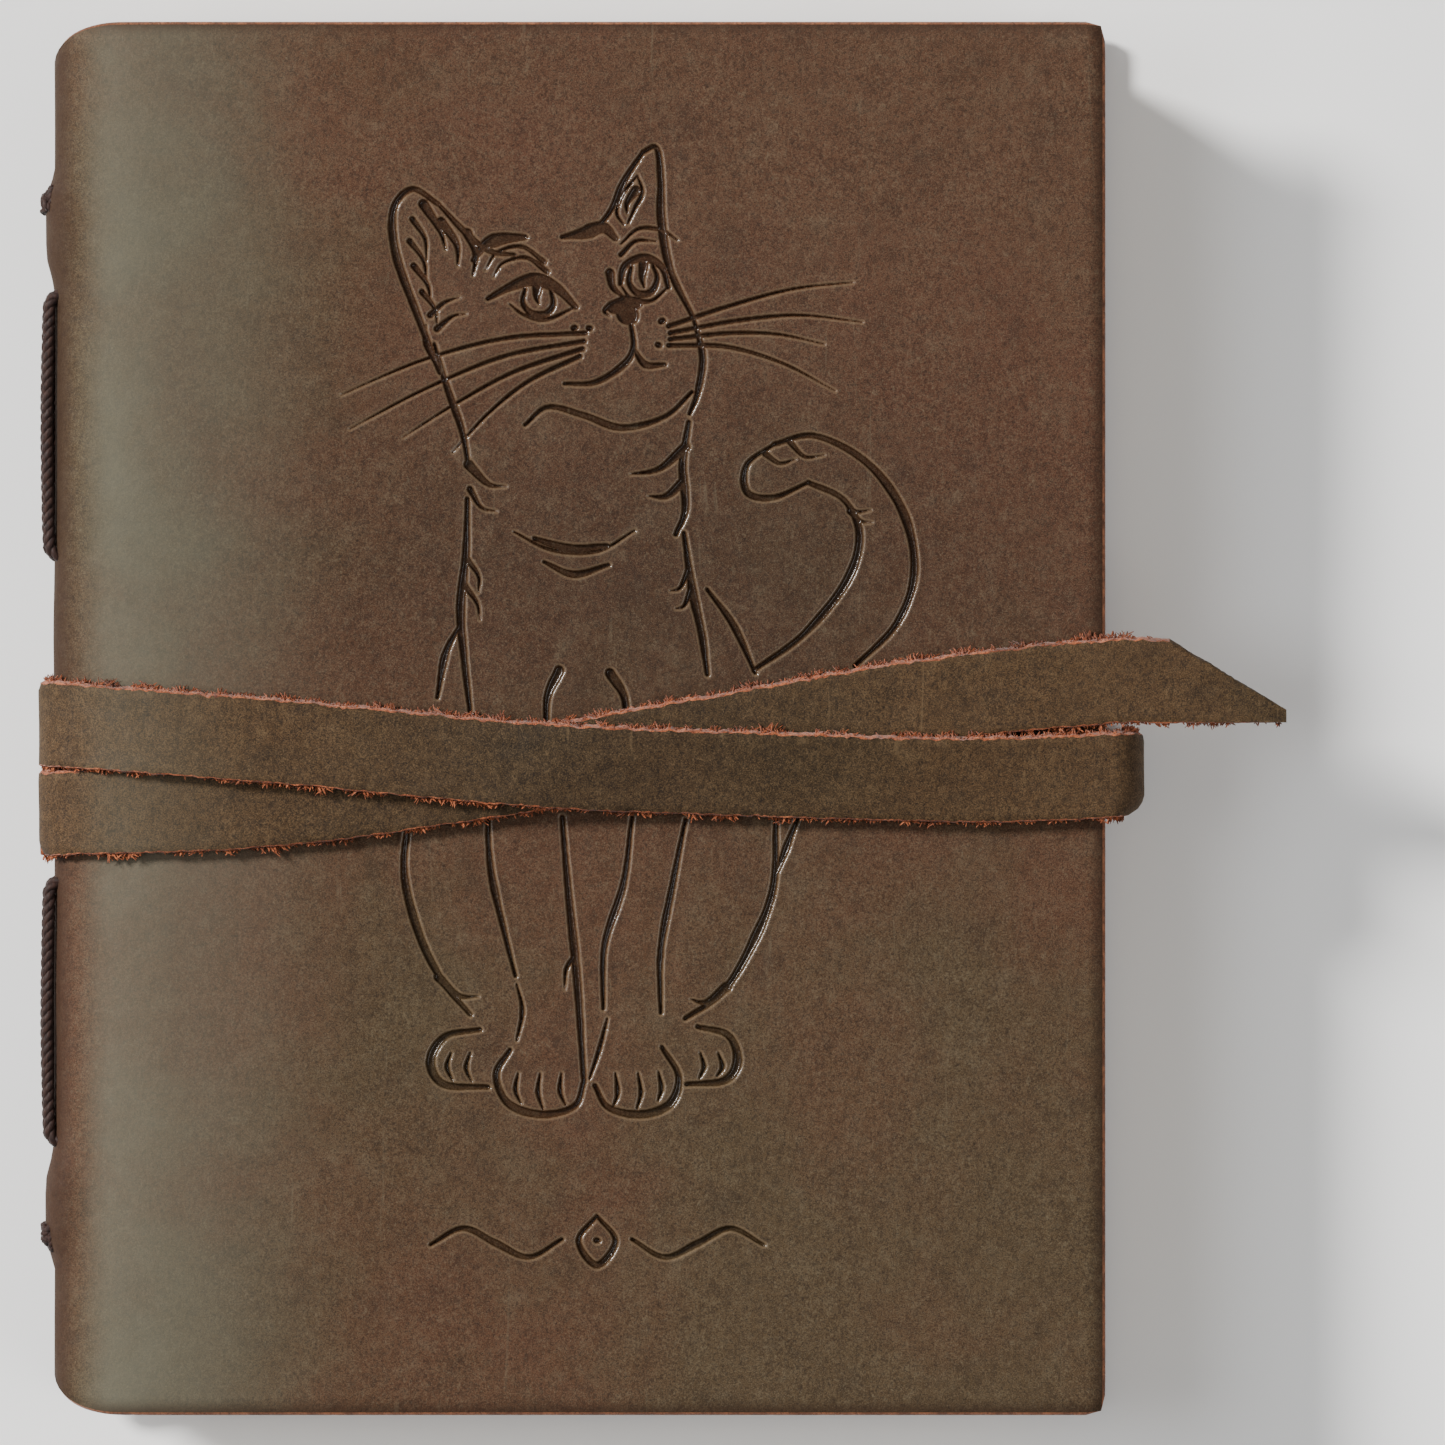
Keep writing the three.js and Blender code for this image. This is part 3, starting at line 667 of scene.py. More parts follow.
def to_line(x, y):
    """Distance from a place on the cover to the rim of the nearest pressed line."""
    fx = min(max((x + HALF_WIDTH) / FIELD_STEP, 0.0), pressed_field.shape[0] - 1.001)
    fy = min(max((y + HALF_HEIGHT) / FIELD_STEP, 0.0), pressed_field.shape[1] - 1.001)
    i, j = int(fx), int(fy)
    a, b = fx - i, fy - j
    low = pressed_field[i, j] * (1 - a) + pressed_field[i + 1, j] * a
    high = pressed_field[i, j + 1] * (1 - a) + pressed_field[i + 1, j + 1] * a
    return low * (1 - b) + high * b


def tooling(x, y):
    """At a place on the cover: its depth, how far inside a line (which also sets the painted shade in the
    line), how burnished, and how much painted highlight its rim gets, partly for stretch of the leather.
    """
    distance = to_line(x, y)
    # How far inside a line; this also darkens the line's colour as painted shade.
    inside = float(smooth(0.06, -0.2, distance))
    lip = float(smooth(0.05, 0.4, distance) * smooth(1.3, 0.4, distance))
    pillow = float(smooth(3.0, 0.2, distance))
    burnish = float(smooth(0.6, 0.15, distance))
    # Painted highlight on the rim of each line, partly for stretch of the leather.
    stretched = float(smooth(-0.06, 0.1, distance) * smooth(0.5, 0.2, distance))
    depth = GROOVE_DEPTH * inside + PILLOW_DEPTH * pillow - LIP_HEIGHT * lip
    return depth, inside, burnish, stretched


# ---------------------------------------------------------------- cover
BASE_CELL = 2.8
FINE_LEVEL = 4
FINEST = 2**FINE_LEVEL
# Each level of fineness, and how near to a pressed line it's used.
LEVEL_LIMITS = [(4, 0.35), (3, 0.9), (2, 2.0), (1, 4.0)]
EDGE_ROUND = 0.35
HEAD_DIP = 6.0
HEAD_DIP_X = 10.0
HEAD_DIP_POWER = 2.2
# The sewing swells the spine between these distances from the middle, at the knots.
BULGE_LOW = 61.5
BULGE_HIGH = 79.5
BULGE_HEIGHT = 1.3
# The colour is darker in an oval about this place on the cover.
DARK_X = 14.0
DARK_Y = 20.0
DARK_WIDE = 62.0
DARK_TALL = 30.0
# The sheet's grid is denser within this reach of the middle of the spine.
ROLL_CELL = 1.0
ROLL_REACH = 27.0
CORNER_CUT = 2.0
WAVE_HEIGHT = 0.3
DENT_HEIGHT = 0.1
# Three of these marks paint light into the colour: shade inside the pressed lines, a highlight round their
# rims and a sheen along the spine's shoulder.
COVER_MARKS = ("press", "burnish", "stretched", "ruddy", "dark", "pull", "edge")
front_start = OUTLINE_LENGTH / 2
flat_count = int(round((front_start - ROLL_REACH) / BASE_CELL))
roll_count = int(round(2 * ROLL_REACH / ROLL_CELL))
grid_lines = np.concatenate(
    [
        np.linspace(0, front_start - ROLL_REACH, flat_count + 1)[:-1],
        np.linspace(front_start - ROLL_REACH, front_start + ROLL_REACH, roll_count + 1)[:-1],
        np.linspace(front_start + ROLL_REACH, OUTLINE_LENGTH, flat_count + 1),
    ]
)
cells_u = len(grid_lines) - 1
cells_v = int(round(2 * HALF_HEIGHT / BASE_CELL))
step_v = 2 * HALF_HEIGHT / (cells_v * FINEST)


def grid_u(i):
    """Arc length along the cover's outer line at line i of the finest grid."""
    return float(np.interp(i / FINEST, np.arange(cells_u + 1), grid_lines))


def head_height(x):
    """Half height of the cover at x: it dips where it turns round the spine."""
    t = float(np.clip((SPINE_X + HEAD_DIP_X - x) / HEAD_DIP_X, 0.0, 1.0))
    return HALF_HEIGHT - HEAD_DIP * rolled_over(t, HEAD_DIP_POWER)


def sheet_point(i, j, depth, inset):
    """A point of the cover sheet: grid place, depth below the outer face, inset at its rim."""
    x, z, nx, nz = on_outline(grid_u(i))
    share = 2 * j / (cells_v * FINEST) - 1
    half = head_height(x)
    if i in (0, cells_u * FINEST):
        x -= inset
    y = share * (half - inset if abs(share) == 1 else half)
    corner = (i < FINEST or i > (cells_u - 1) * FINEST) and abs(share) > 1 - 2.2 / cells_v
    if corner:
        away_x = max(0.0, x - (FORE_X - CORNER_CUT))
        away_y = max(0.0, abs(y) - (HALF_HEIGHT - CORNER_CUT))
        cut = max(0.0, math.hypot(away_x, away_y) - CORNER_CUT)
        x -= cut * 0.7
        y -= math.copysign(cut * 0.7, y)
    lift = WAVE_HEIGHT * wobble(x, y, z, 0.021) + DENT_HEIGHT * wobble(x, y, z + 50, 0.09)
    at_spine = float(smooth(5.0, 1.0, x - SPINE_X))
    if at_spine > 0:
        rise = smooth(BULGE_LOW, BULGE_LOW + 7, abs(y)) * smooth(BULGE_HIGH, BULGE_HIGH - 3.5, abs(y))
        lift += BULGE_HEIGHT * at_spine * float(rise)
    return x + nx * (lift - depth), y, z + nz * (lift - depth)


def cell_level(i, j, size):
    """How fine a cell should be, from its distance to the nearest pressed line."""
    u = grid_u(i + size / 2)
    if u < front_start:
        return 0
    x = on_outline(u)[0]
    y = (j + size / 2) * step_v - HALF_HEIGHT
    distance = to_line(x, y) - size * step_v * 0.75
    for level, limit in LEVEL_LIMITS:
        if distance < limit:
            return level
    return 0


def outer_cells():
    """Leaf cells of the outer face as (i, j, size) on the finest grid."""
    leaves = []
    pending = [
        (i * FINEST, j * FINEST, FINEST, 0) for i in range(cells_u) for j in range(cells_v)
    ]
    while pending:
        i, j, size, level = pending.pop()
        if level < FINE_LEVEL and cell_level(i, j, size) > level:
            half = size // 2
            for di in (0, half):
                for dj in (0, half):
                    pending.append((i + di, j + dj, half, level + 1))
        else:
            leaves.append((i, j, size))
    return leaves


def around(i, j, wide, high, step=1):
    """Places of the finest grid round a rectangle, from its corner (i, j) and step apart."""
    places = [(k, j) for k in range(i, i + wide, step)]
    places += [(i + wide, k) for k in range(j, j + high, step)]
    places += [(k, j + high) for k in range(i + wide, i, -step)]
    places += [(i, k) for k in range(j + high, j, -step)]
    return places


def build_cover():
    """The whole sheet of leather: a fine outer face, a flesh side and a rounded rim between them."""
    leaves = outer_cells()
    corners = {}
    for i, j, size in leaves:
        for key in ((i, j), (i + size, j), (i + size, j + size), (i, j + size)):
            corners.setdefault(key, len(corners))
    last_u = cells_u * FINEST
    last_v = cells_v * FINEST
    vertices = []
    marks = {key: [] for key in COVER_MARKS}

    def mark(**levels):
        for key in COVER_MARKS:
            marks[key].append(float(levels.get(key, 0.0)))

    for i, j in corners:
        at_rim = i in (0, last_u) or j in (0, last_v)
        x, y, z = sheet_point(i, j, 0.0, EDGE_ROUND if at_rim else 0.0)
        inside = burnish = stretched = 0.0
        on_front = grid_u(i) > front_start
        if on_front and x > SPINE_X + TOOLED_FROM_SPINE and abs(y) < TOOLED_HALF_HEIGHT:
            depth, inside, burnish, stretched = tooling(x, y)
            z -= depth
        vertices.append((x, y, z))
        from_spine = x - SPINE_X
        from_rim = min(FORE_X - x, HALF_HEIGHT - abs(y))
        # Among these marks are painted shade inside the pressed lines, a painted highlight on their rims and a
        # painted sheen along the shoulder.
        mark(
            press=inside,
            burnish=burnish,
            stretched=stretched,
            ruddy=smooth(-30.0, 70.0, y) * smooth(-60.0, 0.0, x),
            dark=math.exp(-(((x - DARK_X) / DARK_WIDE) ** 2) - ((y - DARK_Y) / DARK_TALL) ** 2),
            pull=smooth(2.0, 9.0, from_spine) * smooth(46.0, 7.0, from_spine),
            edge=max(smooth(1.8, 0.1, from_rim) * 0.8, smooth(5.0, 0.0, from_spine)),
        )
    faces = []
    slots = []
    for i, j, size in leaves:
        ring = [corners[key] for key in around(i, j, size, size) if key in corners]
        faces.append(ring[::-1])
        slots.append(0)

    def add_ring_point(i, j, depth, inset):
        vertices.append(sheet_point(i, j, depth, inset))
        mark(edge=1.0)
        return len(vertices) - 1

    inner = {}
    for i in range(0, last_u + 1, FINEST):
        for j in range(0, last_v + 1, FINEST):
            at_rim = i in (0, last_u) or j in (0, last_v)
            inner[i, j] = add_ring_point(i, j, LEATHER, EDGE_ROUND if at_rim else 0.0)
    for i in range(0, last_u, FINEST):
        for j in range(0, last_v, FINEST):
            a = inner[i, j]
            b = inner[i + FINEST, j]
            c = inner[i + FINEST, j + FINEST]
            d = inner[i, j + FINEST]
            faces.append([a, b, c, d])
            slots.append(1)

    rim = around(0, 0, last_u, last_v, FINEST)
    rings = [[corners[key] for key in rim]]
    for depth, inset in ((EDGE_ROUND, 0.0), (LEATHER / 2, -0.08), (LEATHER - EDGE_ROUND, 0.0)):
        rings.append([add_ring_point(i, j, depth, inset) for i, j in rim])
    rings.append([inner[key] for key in rim])
    for upper, lower in zip(rings, rings[1:]):
        for k in range(len(rim)):
            after = (k + 1) % len(rim)
            faces.append([upper[k], lower[k], lower[after], upper[after]])
            slots.append(2)
    materials = [cover_leather, cover_suede, cover_edge]
    made = make_object("leather_cover", vertices, faces, materials, slots, values=marks)
    bm = bmesh.new()
    bm.from_mesh(made.data)
    bmesh.ops.recalc_face_normals(bm, faces=bm.faces)
    bm.to_mesh(made.data)
    bm.free()
    made.data.set_sharp_from_angle(angle=math.radians(70))
    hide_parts("front_cover", "back_cover")
    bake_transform(made)


build_cover()

# ---------------------------------------------------------------- signatures of folded paper
SHEETS = 8
SHEET_THICKNESS = 0.15
SHEET_MARGIN = 0.06
FLAT_STEPS = 25
FOLD_STEPS = 8
page_low, page_high = box_mm("signature_2")
PAGE_HALF_HEIGHT = (page_high[1] - page_low[1]) / 2
PAGE_FORE_X = page_high[0] - CENTRE_X
BLOCK_HALF = FRONT_TOP - LEATHER - MIDDLE_Z


def squeezed(x, z):
    """The block of pages follows the rounded shoulders of the cover near the spine."""
    room = BLOCK_HALF - shoulder_drop(x) * 1.04 - 0.12
    return MIDDLE_Z + (z - MIDDLE_Z) * room / BLOCK_HALF


def fold_x(index):
    """Where the fold of a signature lies: the outer ones sit further in."""
    from_middle = abs(index - (SIGNATURES - 1) / 2) / ((SIGNATURES - 1) / 2)
    return SPINE_X + LEATHER + 0.5 + 4.6 * from_middle**3


def signature_z(index):
    low, high = box_mm(f"signature_{index + 1}")
    return (low[2] + high[2]) / 2


def build_signature(index):
    """One signature: folded sheets nested in each other, with ends that don't quite line up."""
    rng = random.Random(40 + index)
    parts = MeshParts()
    name = f"signature_{index + 1}"
    z_mid = signature_z(index)
    low, high = box_mm(name)
    half = (high[2] - low[2]) / 2
    pitch = (half - SHEET_MARGIN) / SHEETS
    for sheet in range(SHEETS):
        radius = half - SHEET_MARGIN - pitch * (sheet + 0.5)
        start = fold_x(index) + half - radius
        end = PAGE_FORE_X + 0.03 * sheet + rng.uniform(-0.22, 0.12)
        height = PAGE_HALF_HEIGHT + rng.uniform(-0.15, 0.15)
        shift = rng.uniform(-0.12, 0.12)
        line = []
        flat_shares = [k / FLAT_STEPS for k in range(FLAT_STEPS + 1)]
        for t in flat_shares:
            line.append((end + (start + radius - end) * t, radius))
        for k in range(1, FOLD_STEPS):
            angle = math.pi / 2 + math.pi * k / FOLD_STEPS
            line.append((start + radius + radius * math.cos(angle), radius * math.sin(angle)))
        for t in flat_shares:
            line.append((start + radius + (end - start - radius) * t, -radius))
        normal = [(-tz, tx) for tx, tz in directions(line)]
        rows = [-height, -height / 3, height / 3, height]
        vertices = []
        count = len(line)
        for y in rows:
            for side in (1, -1):
                for (x, z), (nx, nz) in zip(line, normal):
                    ripple = 0.035 * wobble(x, y, z_mid + z, 0.07)
                    px = x + side * nx * SHEET_THICKNESS / 2
                    pz = z_mid + z + side * nz * SHEET_THICKNESS / 2 + ripple
                    vertices.append((px, y + shift, squeezed(px, pz)))
        faces = []
        stride = 2 * count
        for row in range(len(rows) - 1):
            for k in range(count - 1):
                a = row * stride + k
                faces.append([a, a + 1, a + 1 + stride, a + stride])
                b = a + count
                faces.append([b, b + stride, b + 1 + stride, b + 1])
            for k in (0, count - 1):
                a = row * stride + k
                quad = [a, a + stride, a + stride + count, a + count]
                faces.append(quad if k == 0 else quad[::-1])
        for k in range(count - 1):
            faces.append([k, k + count, k + 1 + count, k + 1])
            top = (len(rows) - 1) * stride + k
            faces.append([top, top + 1, top + 1 + count, top + count])
        parts.add(vertices, faces)
    made = parts.build(f"{name}_sheets", [cream_paper], sharp=40)
    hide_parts(name)
    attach(made, "front_half" if index < SIGNATURES / 2 else "back_half")


for signature_index in range(SIGNATURES):
    build_signature(signature_index)

# ---------------------------------------------------------------- sewing thread
STITCH_OUTER_Y = 62.1
STITCH_INNER_Y = 23.6
KNOT_Y = 75.8
CORD_RADIUS = 0.9
CORD_SPACING = 0.42
PLY_PITCH = 4.4
PLIES = 3
PLY_SIDES = 7
KNOT_TURNS = 2.5
KNOT_STEPS = 18


def twisted_cord(parts, points, radius=CORD_RADIUS, pitch=PLY_PITCH, phase=0.0):
    """A cord of plies wound round each other along a line."""
    path = catmull(points, CORD_SPACING)
    frames = carried_frames(path, [0.31, 0.12, 0.94])
    along = np.arange(len(path)) * CORD_SPACING
    offset = radius * 0.44
    for ply in range(PLIES):
        turn = phase + 2 * math.pi * ply / PLIES
        centre = []
        for point, (a, b), s in zip(path, frames, along):
            angle = turn + 2 * math.pi * s / pitch
            centre.append(point + offset * (math.cos(angle) * a + math.sin(angle) * b))
        parts.add(*tube(centre, radius * 0.6, PLY_SIDES))


def spine_offset(z):
    """How far the cover's outer face lies inside the spine's line at height z."""
    gap = max(0.0, abs(z - MIDDLE_Z) - (FRONT_TOP - MIDDLE_Z - SHOULDER_Z)) / SHOULDER_Z
    return SHOULDER_X * rolled_over(min(gap, 0.98), SHOULDER_POWER)


def build_thread(index):
    """The thread of one signature where it shows: two long stitches and a knot at each end."""
    rng = random.Random(70 + index)
    parts = MeshParts()
    z = MIDDLE_Z + (signature_z(index) - MIDDLE_Z) * 0.8
    face = SPINE_X + spine_offset(z)
    outside = face - CORD_RADIUS - 0.1
    for sign in (-1, 1):
        slack = rng.uniform(-0.15, 0.15)
        stitch = [
            (face + 2.6, sign * STITCH_OUTER_Y, z),
            (face + 0.9, sign * STITCH_OUTER_Y, z),
            (outside + 0.35, sign * (STITCH_OUTER_Y - 1.0), z),
            (outside, sign * (STITCH_OUTER_Y - 4.0), z + slack * 0.5),
            (outside - 0.25, sign * (STITCH_OUTER_Y + STITCH_INNER_Y) / 2, z + slack),
            (outside, sign * (STITCH_INNER_Y + 4.0), z + slack * 0.5),
            (outside + 0.35, sign * (STITCH_INNER_Y + 1.0), z),
            (face + 0.9, sign * STITCH_INNER_Y, z),
            (face + 2.6, sign * STITCH_INNER_Y, z),
        ]
        twisted_cord(parts, stitch, phase=rng.uniform(0, 6))
        knot = [(face + 2.4, sign * KNOT_Y, z), (face + 0.4, sign * KNOT_Y, z)]
        for k in range(KNOT_STEPS + 1):
            t = k / KNOT_STEPS
            angle = math.pi + 2 * math.pi * KNOT_TURNS * t
            knot_x = face - 0.95 + 0.6 * math.cos(angle)
            knot_y = sign * (KNOT_Y - 1.7 + 3.2 * t + 0.5 * math.sin(angle * 0.7))
            knot.append((knot_x, knot_y, z + 0.66 * math.sin(angle)))
        knot.append((face - 0.7, sign * (KNOT_Y + 0.5), z + 0.75))
        knot.append((face - 0.4, sign * (KNOT_Y - 1.0), z + 0.55))
        twisted_cord(parts, knot, radius=0.68, pitch=2.2)
    name = f"sewing_thread_{index + 1}"
    made = parts.build(f"{name}_cord", [waxed_cord])
    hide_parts(name)
    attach(made, "front_half" if index < SIGNATURES / 2 else "back_half")


for thread_index in range(SIGNATURES):
    build_thread(thread_index)

# ---------------------------------------------------------------- strap
STRAP_WIDTH = 12.4
HALF_STRAP = 1.0
STRAP_GAP = 0.3
FORE_BULGE_X = FORE_X + 4.8
FORE_BEND = 3.6
FORE_STEPS = 12
ANCHOR_END_X = 34.0
STATION = 0.5
LOWEST_Z = 0.02
FIBRES_EACH_STATION = 4
FIBRE_TAPER = (1.0, 0.95, 0.75, 0.35)
STRAP_DARK_X = 0.0
STRAP_DARK_WIDE = 34.0
LAYER = 2 * HALF_STRAP + STRAP_GAP
# The strap's middle line on the front and on the back, and where it climbs the spine.
TOP_Z = FRONT_TOP + STRAP_GAP + HALF_STRAP
LOW_Z = BACK_BOTTOM - STRAP_GAP - HALF_STRAP
CLIMB_X = SPINE_X - STRAP_GAP - HALF_STRAP
# How far the strap's middle lies from the cover's middle, as (x, y) for each of its four runs.
ANCHOR_DRIFT = [(-78, -0.7), (34, 7.9)]
FRONT_DRIFT = [(-78, -0.7), (-45, -3.2), (-8, -6.6), (17.5, -7.8), (57, -8.9), (82, -8.1)]
BACK_DRIFT = [(-78, -13.8), (82, -8.1)]
TAIL_DRIFT = [
    (-78, -13.8),
    (-45, -12.5),
    (-13, -8.3),
    (10, -4.4),
    (49, 2.4),
    (75, 5.3),
    (86, 5.5),
    (103, 5.6),
]
TAIL_CUT_X = 85.6
TAIL_TIP_X = 103.0
TAIL_TIP_WIDTH = 1.9


def drift_curve(knots):
    curve = catmull(knots, 1.0)
    return lambda x: float(np.interp(x, curve[:, 0], curve[:, 1]))


anchor_y = drift_curve(ANCHOR_DRIFT)
front_y = drift_curve(FRONT_DRIFT)
back_y = drift_curve(BACK_DRIFT)
tail_y = drift_curve(TAIL_DRIFT)


def around_spine(stop_x_back, stop_x_front):
    """The strap's middle line where it hugs the cover: under the back, up the spine, over the front."""
    shift = STRAP_GAP + HALF_STRAP
    line = [(stop_x_back, BACK_BOTTOM - shift)]
    half = len(outline) / 2
    for k, ((x, z), (tx, tz)) in enumerate(zip(outline, outline_tangent)):
        limit = stop_x_back if k < half else stop_x_front
        if x <= limit - 0.5:
            line.append((x - tz * shift, z + tx * shift))
    return [*line, (stop_x_front, FRONT_TOP + shift)]


def around_fore_edge(start_x, stop_x):
    """The loop past the fore-edge, from the front face down to the back face."""
    centre = FORE_BULGE_X - FORE_BEND
    line = [(start_x, TOP_Z), (centre - 2.0, TOP_Z)]
    for first, centre_z in ((math.pi / 2, TOP_Z - FORE_BEND), (0.0, LOW_Z + FORE_BEND)):
        for k in range(FORE_STEPS + 1):
            angle = first - math.pi / 2 * k / FORE_STEPS
            line.append((centre + FORE_BEND * math.cos(angle), centre_z + FORE_BEND * math.sin(angle)))
    return [*line, (centre - 2.0, LOW_Z), (stop_x, LOW_Z)]


MID_X = 2.0
wrap_one = around_spine(ANCHOR_END_X, MID_X)
wrap_two = around_spine(MID_X, TAIL_TIP_X)
fore_loop = around_fore_edge(MID_X, MID_X)


def split_at_height(line, z):
    """Cuts a line that climbs the spine or drops down the fore-edge in two at height z."""
    for k in range(len(line) - 1):
        a, b = line[k], line[k + 1]
        if (a[1] - z) * (b[1] - z) <= 0 and abs(a[1] - b[1]) > 1e-6 and abs(a[1] - z) < 16:
            t = (z - a[1]) / (b[1] - a[1])
            cut = (a[0] + (b[0] - a[0]) * t, z)
            return line[: k + 1] + [cut], [cut] + line[k + 1 :]
    raise ValueError("the line never reaches that height")


def lift_front(x, edge_y):
    """How far the front run is held up by the tail beneath it, at one of its edges."""
    total = 0.0
    samples = (-9, -4.5, 0, 4.5, 9)
    for dx in samples:
        apart = abs(edge_y - tail_y(x + dx))
        total += float(smooth(STRAP_WIDTH / 2 + 2.4, STRAP_WIDTH / 2 - 1.2, apart))
    return LAYER * total / len(samples)


def section():
    """Outline of the strap's section: (across, through), from the top face round to the bottom.

    The knife leaned, so the edge on the high side faces up and the one on the low side faces down.
    """
    half = STRAP_WIDTH / 2
    points = []
    for k in range(13):
        points.append((half - 0.44 - (STRAP_WIDTH - 0.6) * k / 12, HALF_STRAP))
    points += [(-half + 0.02, HALF_STRAP - 0.12), (-half - 0.02, 0.4), (-half, -0.25)]
    points += [(-half + 0.12, -0.72), (-half + 0.5, -HALF_STRAP)]
    for k in range(1, 6):
        points.append((-half + 0.5 + (STRAP_WIDTH - 0.7) * k / 6, -HALF_STRAP))
    points += [(half - 0.2, -HALF_STRAP), (half + 0.1, -0.72), (half + 0.06, -0.2)]
    points += [(half - 0.08, 0.38), (half - 0.26, HALF_STRAP - 0.18)]
    return points


SECTION = section()
# The section's points: the top face, the low cut edge up to FLESH_FROM, the flesh side, the high cut edge.
TOP_POINTS = 13
FLESH_FROM = 17
FLESH_TO = 23


def section_slot(k):
    """Material of the band between section point k and the next."""
    if k < TOP_POINTS - 1:
        return 0
    if k < FLESH_FROM or k >= FLESH_TO:
        return 2
    return 1


def rolled_in(out, start, width):
    """How far an edge of the strap has rolled in, from 0 to 1: from start outwards, over width."""
    share = min(1.0, max(0.0, (out - start) / width))
    return 1 - math.sqrt(1 - share**2)


def strap_piece(name, line, centre_y, run, first_s):
    """One stretch of the strap as a closed mesh with frayed edges. run says which run its front side is."""
    path = resample(line, STATION)
    tangent = directions(path)
    parts = MeshParts("pull", "dark")
    count = len(SECTION)
    for (x, z), (tx, tz) in zip(path, tangent):
        nx, nz = -tz, tx
        middle = centre_y(x)
        upward = max(0.0, nz)
        tilt_low = tilt_high = 0.0
        if run == "front" and upward > 0:
            tilt_low = lift_front(x, middle - STRAP_WIDTH / 2)
            tilt_high = lift_front(x, middle + STRAP_WIDTH / 2)
        for k, (across, through) in enumerate(SECTION):
            on_edge = k >= TOP_POINTS and section_slot(k) != 1 or k in (0, TOP_POINTS - 1)
            a = across
            b = through
            if on_edge:
                side = math.copysign(1, across)
                around_x = x + side * 40
                rough = 0.3 * wobble(around_x, z, middle, 0.7) + 0.3 * wobble(around_x, z, b * 2, 2.1)
                a += side * rough * (1.0 if side > 0 else 0.6)
            elif k < TOP_POINTS:
                b += 0.12 * wobble(x, z, across, 0.13) + 0.03 * wobble(x, z, across, 0.8)
            y = middle + a
            share = (a + STRAP_WIDTH / 2) / STRAP_WIDTH
            rise = (tilt_low * (1 - share) + tilt_high * share) * upward
            px = x + nx * b
            pz = z + nz * b + rise
            if run == "tail" and x > TAIL_CUT_X:
                t = (x - TAIL_CUT_X) / (TAIL_TIP_X - TAIL_CUT_X)
                low_edge = middle - STRAP_WIDTH / 2
                top_edge = low_edge + STRAP_WIDTH + (TAIL_TIP_WIDTH - STRAP_WIDTH) * t
                y = low_edge + (top_edge - low_edge) * np.clip(share, -0.02, 1.02)
            if px > FORE_X + 0.3 and run in ("front", "back"):
                past = px - FORE_X - 0.3
                px -= 0.7 * past * rolled_in(-a, 2.6, 3.7)
                px -= 0.25 * past * rolled_in(a, 4.9, 1.4)
            if px < SPINE_X and run in ("tail", "front"):
                edge_in = rolled_in(-a, 3.6, 2.7) if run == "tail" else rolled_in(a, 5.0, 1.3)
                px += 0.6 * (SPINE_X - px) * edge_in
            parts.vertices.append((px, y, max(pz, LOWEST_Z)))
            # Painted sheen on the strap where it rolls over the spine's shoulder, partly lighter pulled
            # leather.
            near_spine = x - SPINE_X
            pull_and_sheen_band = smooth(2.0, 9.0, near_spine) * smooth(34.0, 8.0, near_spine)
            parts.values["pull"].append(float(0.4 * pull_and_sheen_band))
            parts.values["dark"].append(math.exp(-(((x - STRAP_DARK_X) / STRAP_DARK_WIDE) ** 2)))
    for i in range(len(path) - 1):
        for k in range(count):
            a = i * count + k
            b = i * count + (k + 1) % count
            parts.faces.append([a, a + count, b + count, b])
            cut_by_blade = run == "tail" and path[i][0] > TAIL_CUT_X and k >= FLESH_TO
            parts.slots.append(0 if cut_by_blade else section_slot(k))
    last = (len(path) - 1) * count
    parts.faces += [list(range(count)), list(range(last, last + count))[::-1]]
    parts.slots += [2, 2]
    add_fibres(parts, count, first_s, tangent)
    return parts.build(name, [strap_leather, strap_suede, strap_edge], sharp=55)


def add_fibres(parts, count, first_s, tangent):
    """Short torn fibres standing out of both cut edges, in uneven tufts."""
    stations = len(tangent)
    grid = np.array(parts.vertices).reshape(stations, count, 3)
    rng = random.Random(int(first_s * 10) + 5)
    for side, band in ((-1, (14, 15, 16)), (1, (24, 25, 26))):
        for i in range(2, stations - 2):
            if side > 0 and grid[i, 24, 0] > TAIL_CUT_X - 1.0:
                continue
            s = first_s + i * STATION
            tuft = wobble(s, side * 31.0, 2.0, 0.35) + 0.6 * wobble(s, side * 11.0, 7.0, 1.3)
            chance = 0.7 + 1.3 * tuft
            for _ in range(FIBRES_EACH_STATION):
                if rng.random() > chance:
                    continue
                root = grid[i, rng.choice(band)]
                tx, tz = tangent[i]
                along = np.array([tx, 0.0, tz])
                outward = np.array([0.0, side, 0.0])
                up = np.array([-tz, 0.0, tx])
                length = rng.uniform(0.3, 0.75) * (1 + max(0.0, tuft) * 1.7)
                direction = outward + along * rng.uniform(-1.3, 1.3) + up * rng.uniform(-0.3, 0.6)
                direction /= np.linalg.norm(direction)
                bend = along * rng.uniform(-0.9, 0.9) + up * rng.uniform(-0.5, 0.4)
                points = []
                for k in range(len(FIBRE_TAPER)):
                    t = k / (len(FIBRE_TAPER) - 1)
                    points.append(root + direction * (length * t - 0.12) + bend * length * 0.5 * t * t)
                thick = rng.uniform(0.09, 0.19)
                vertices, faces = tube(points, [thick * share for share in FIBRE_TAPER], 3)
                parts.add([(x, y, max(z, LOWEST_Z)) for x, y, z in vertices], faces, 2)


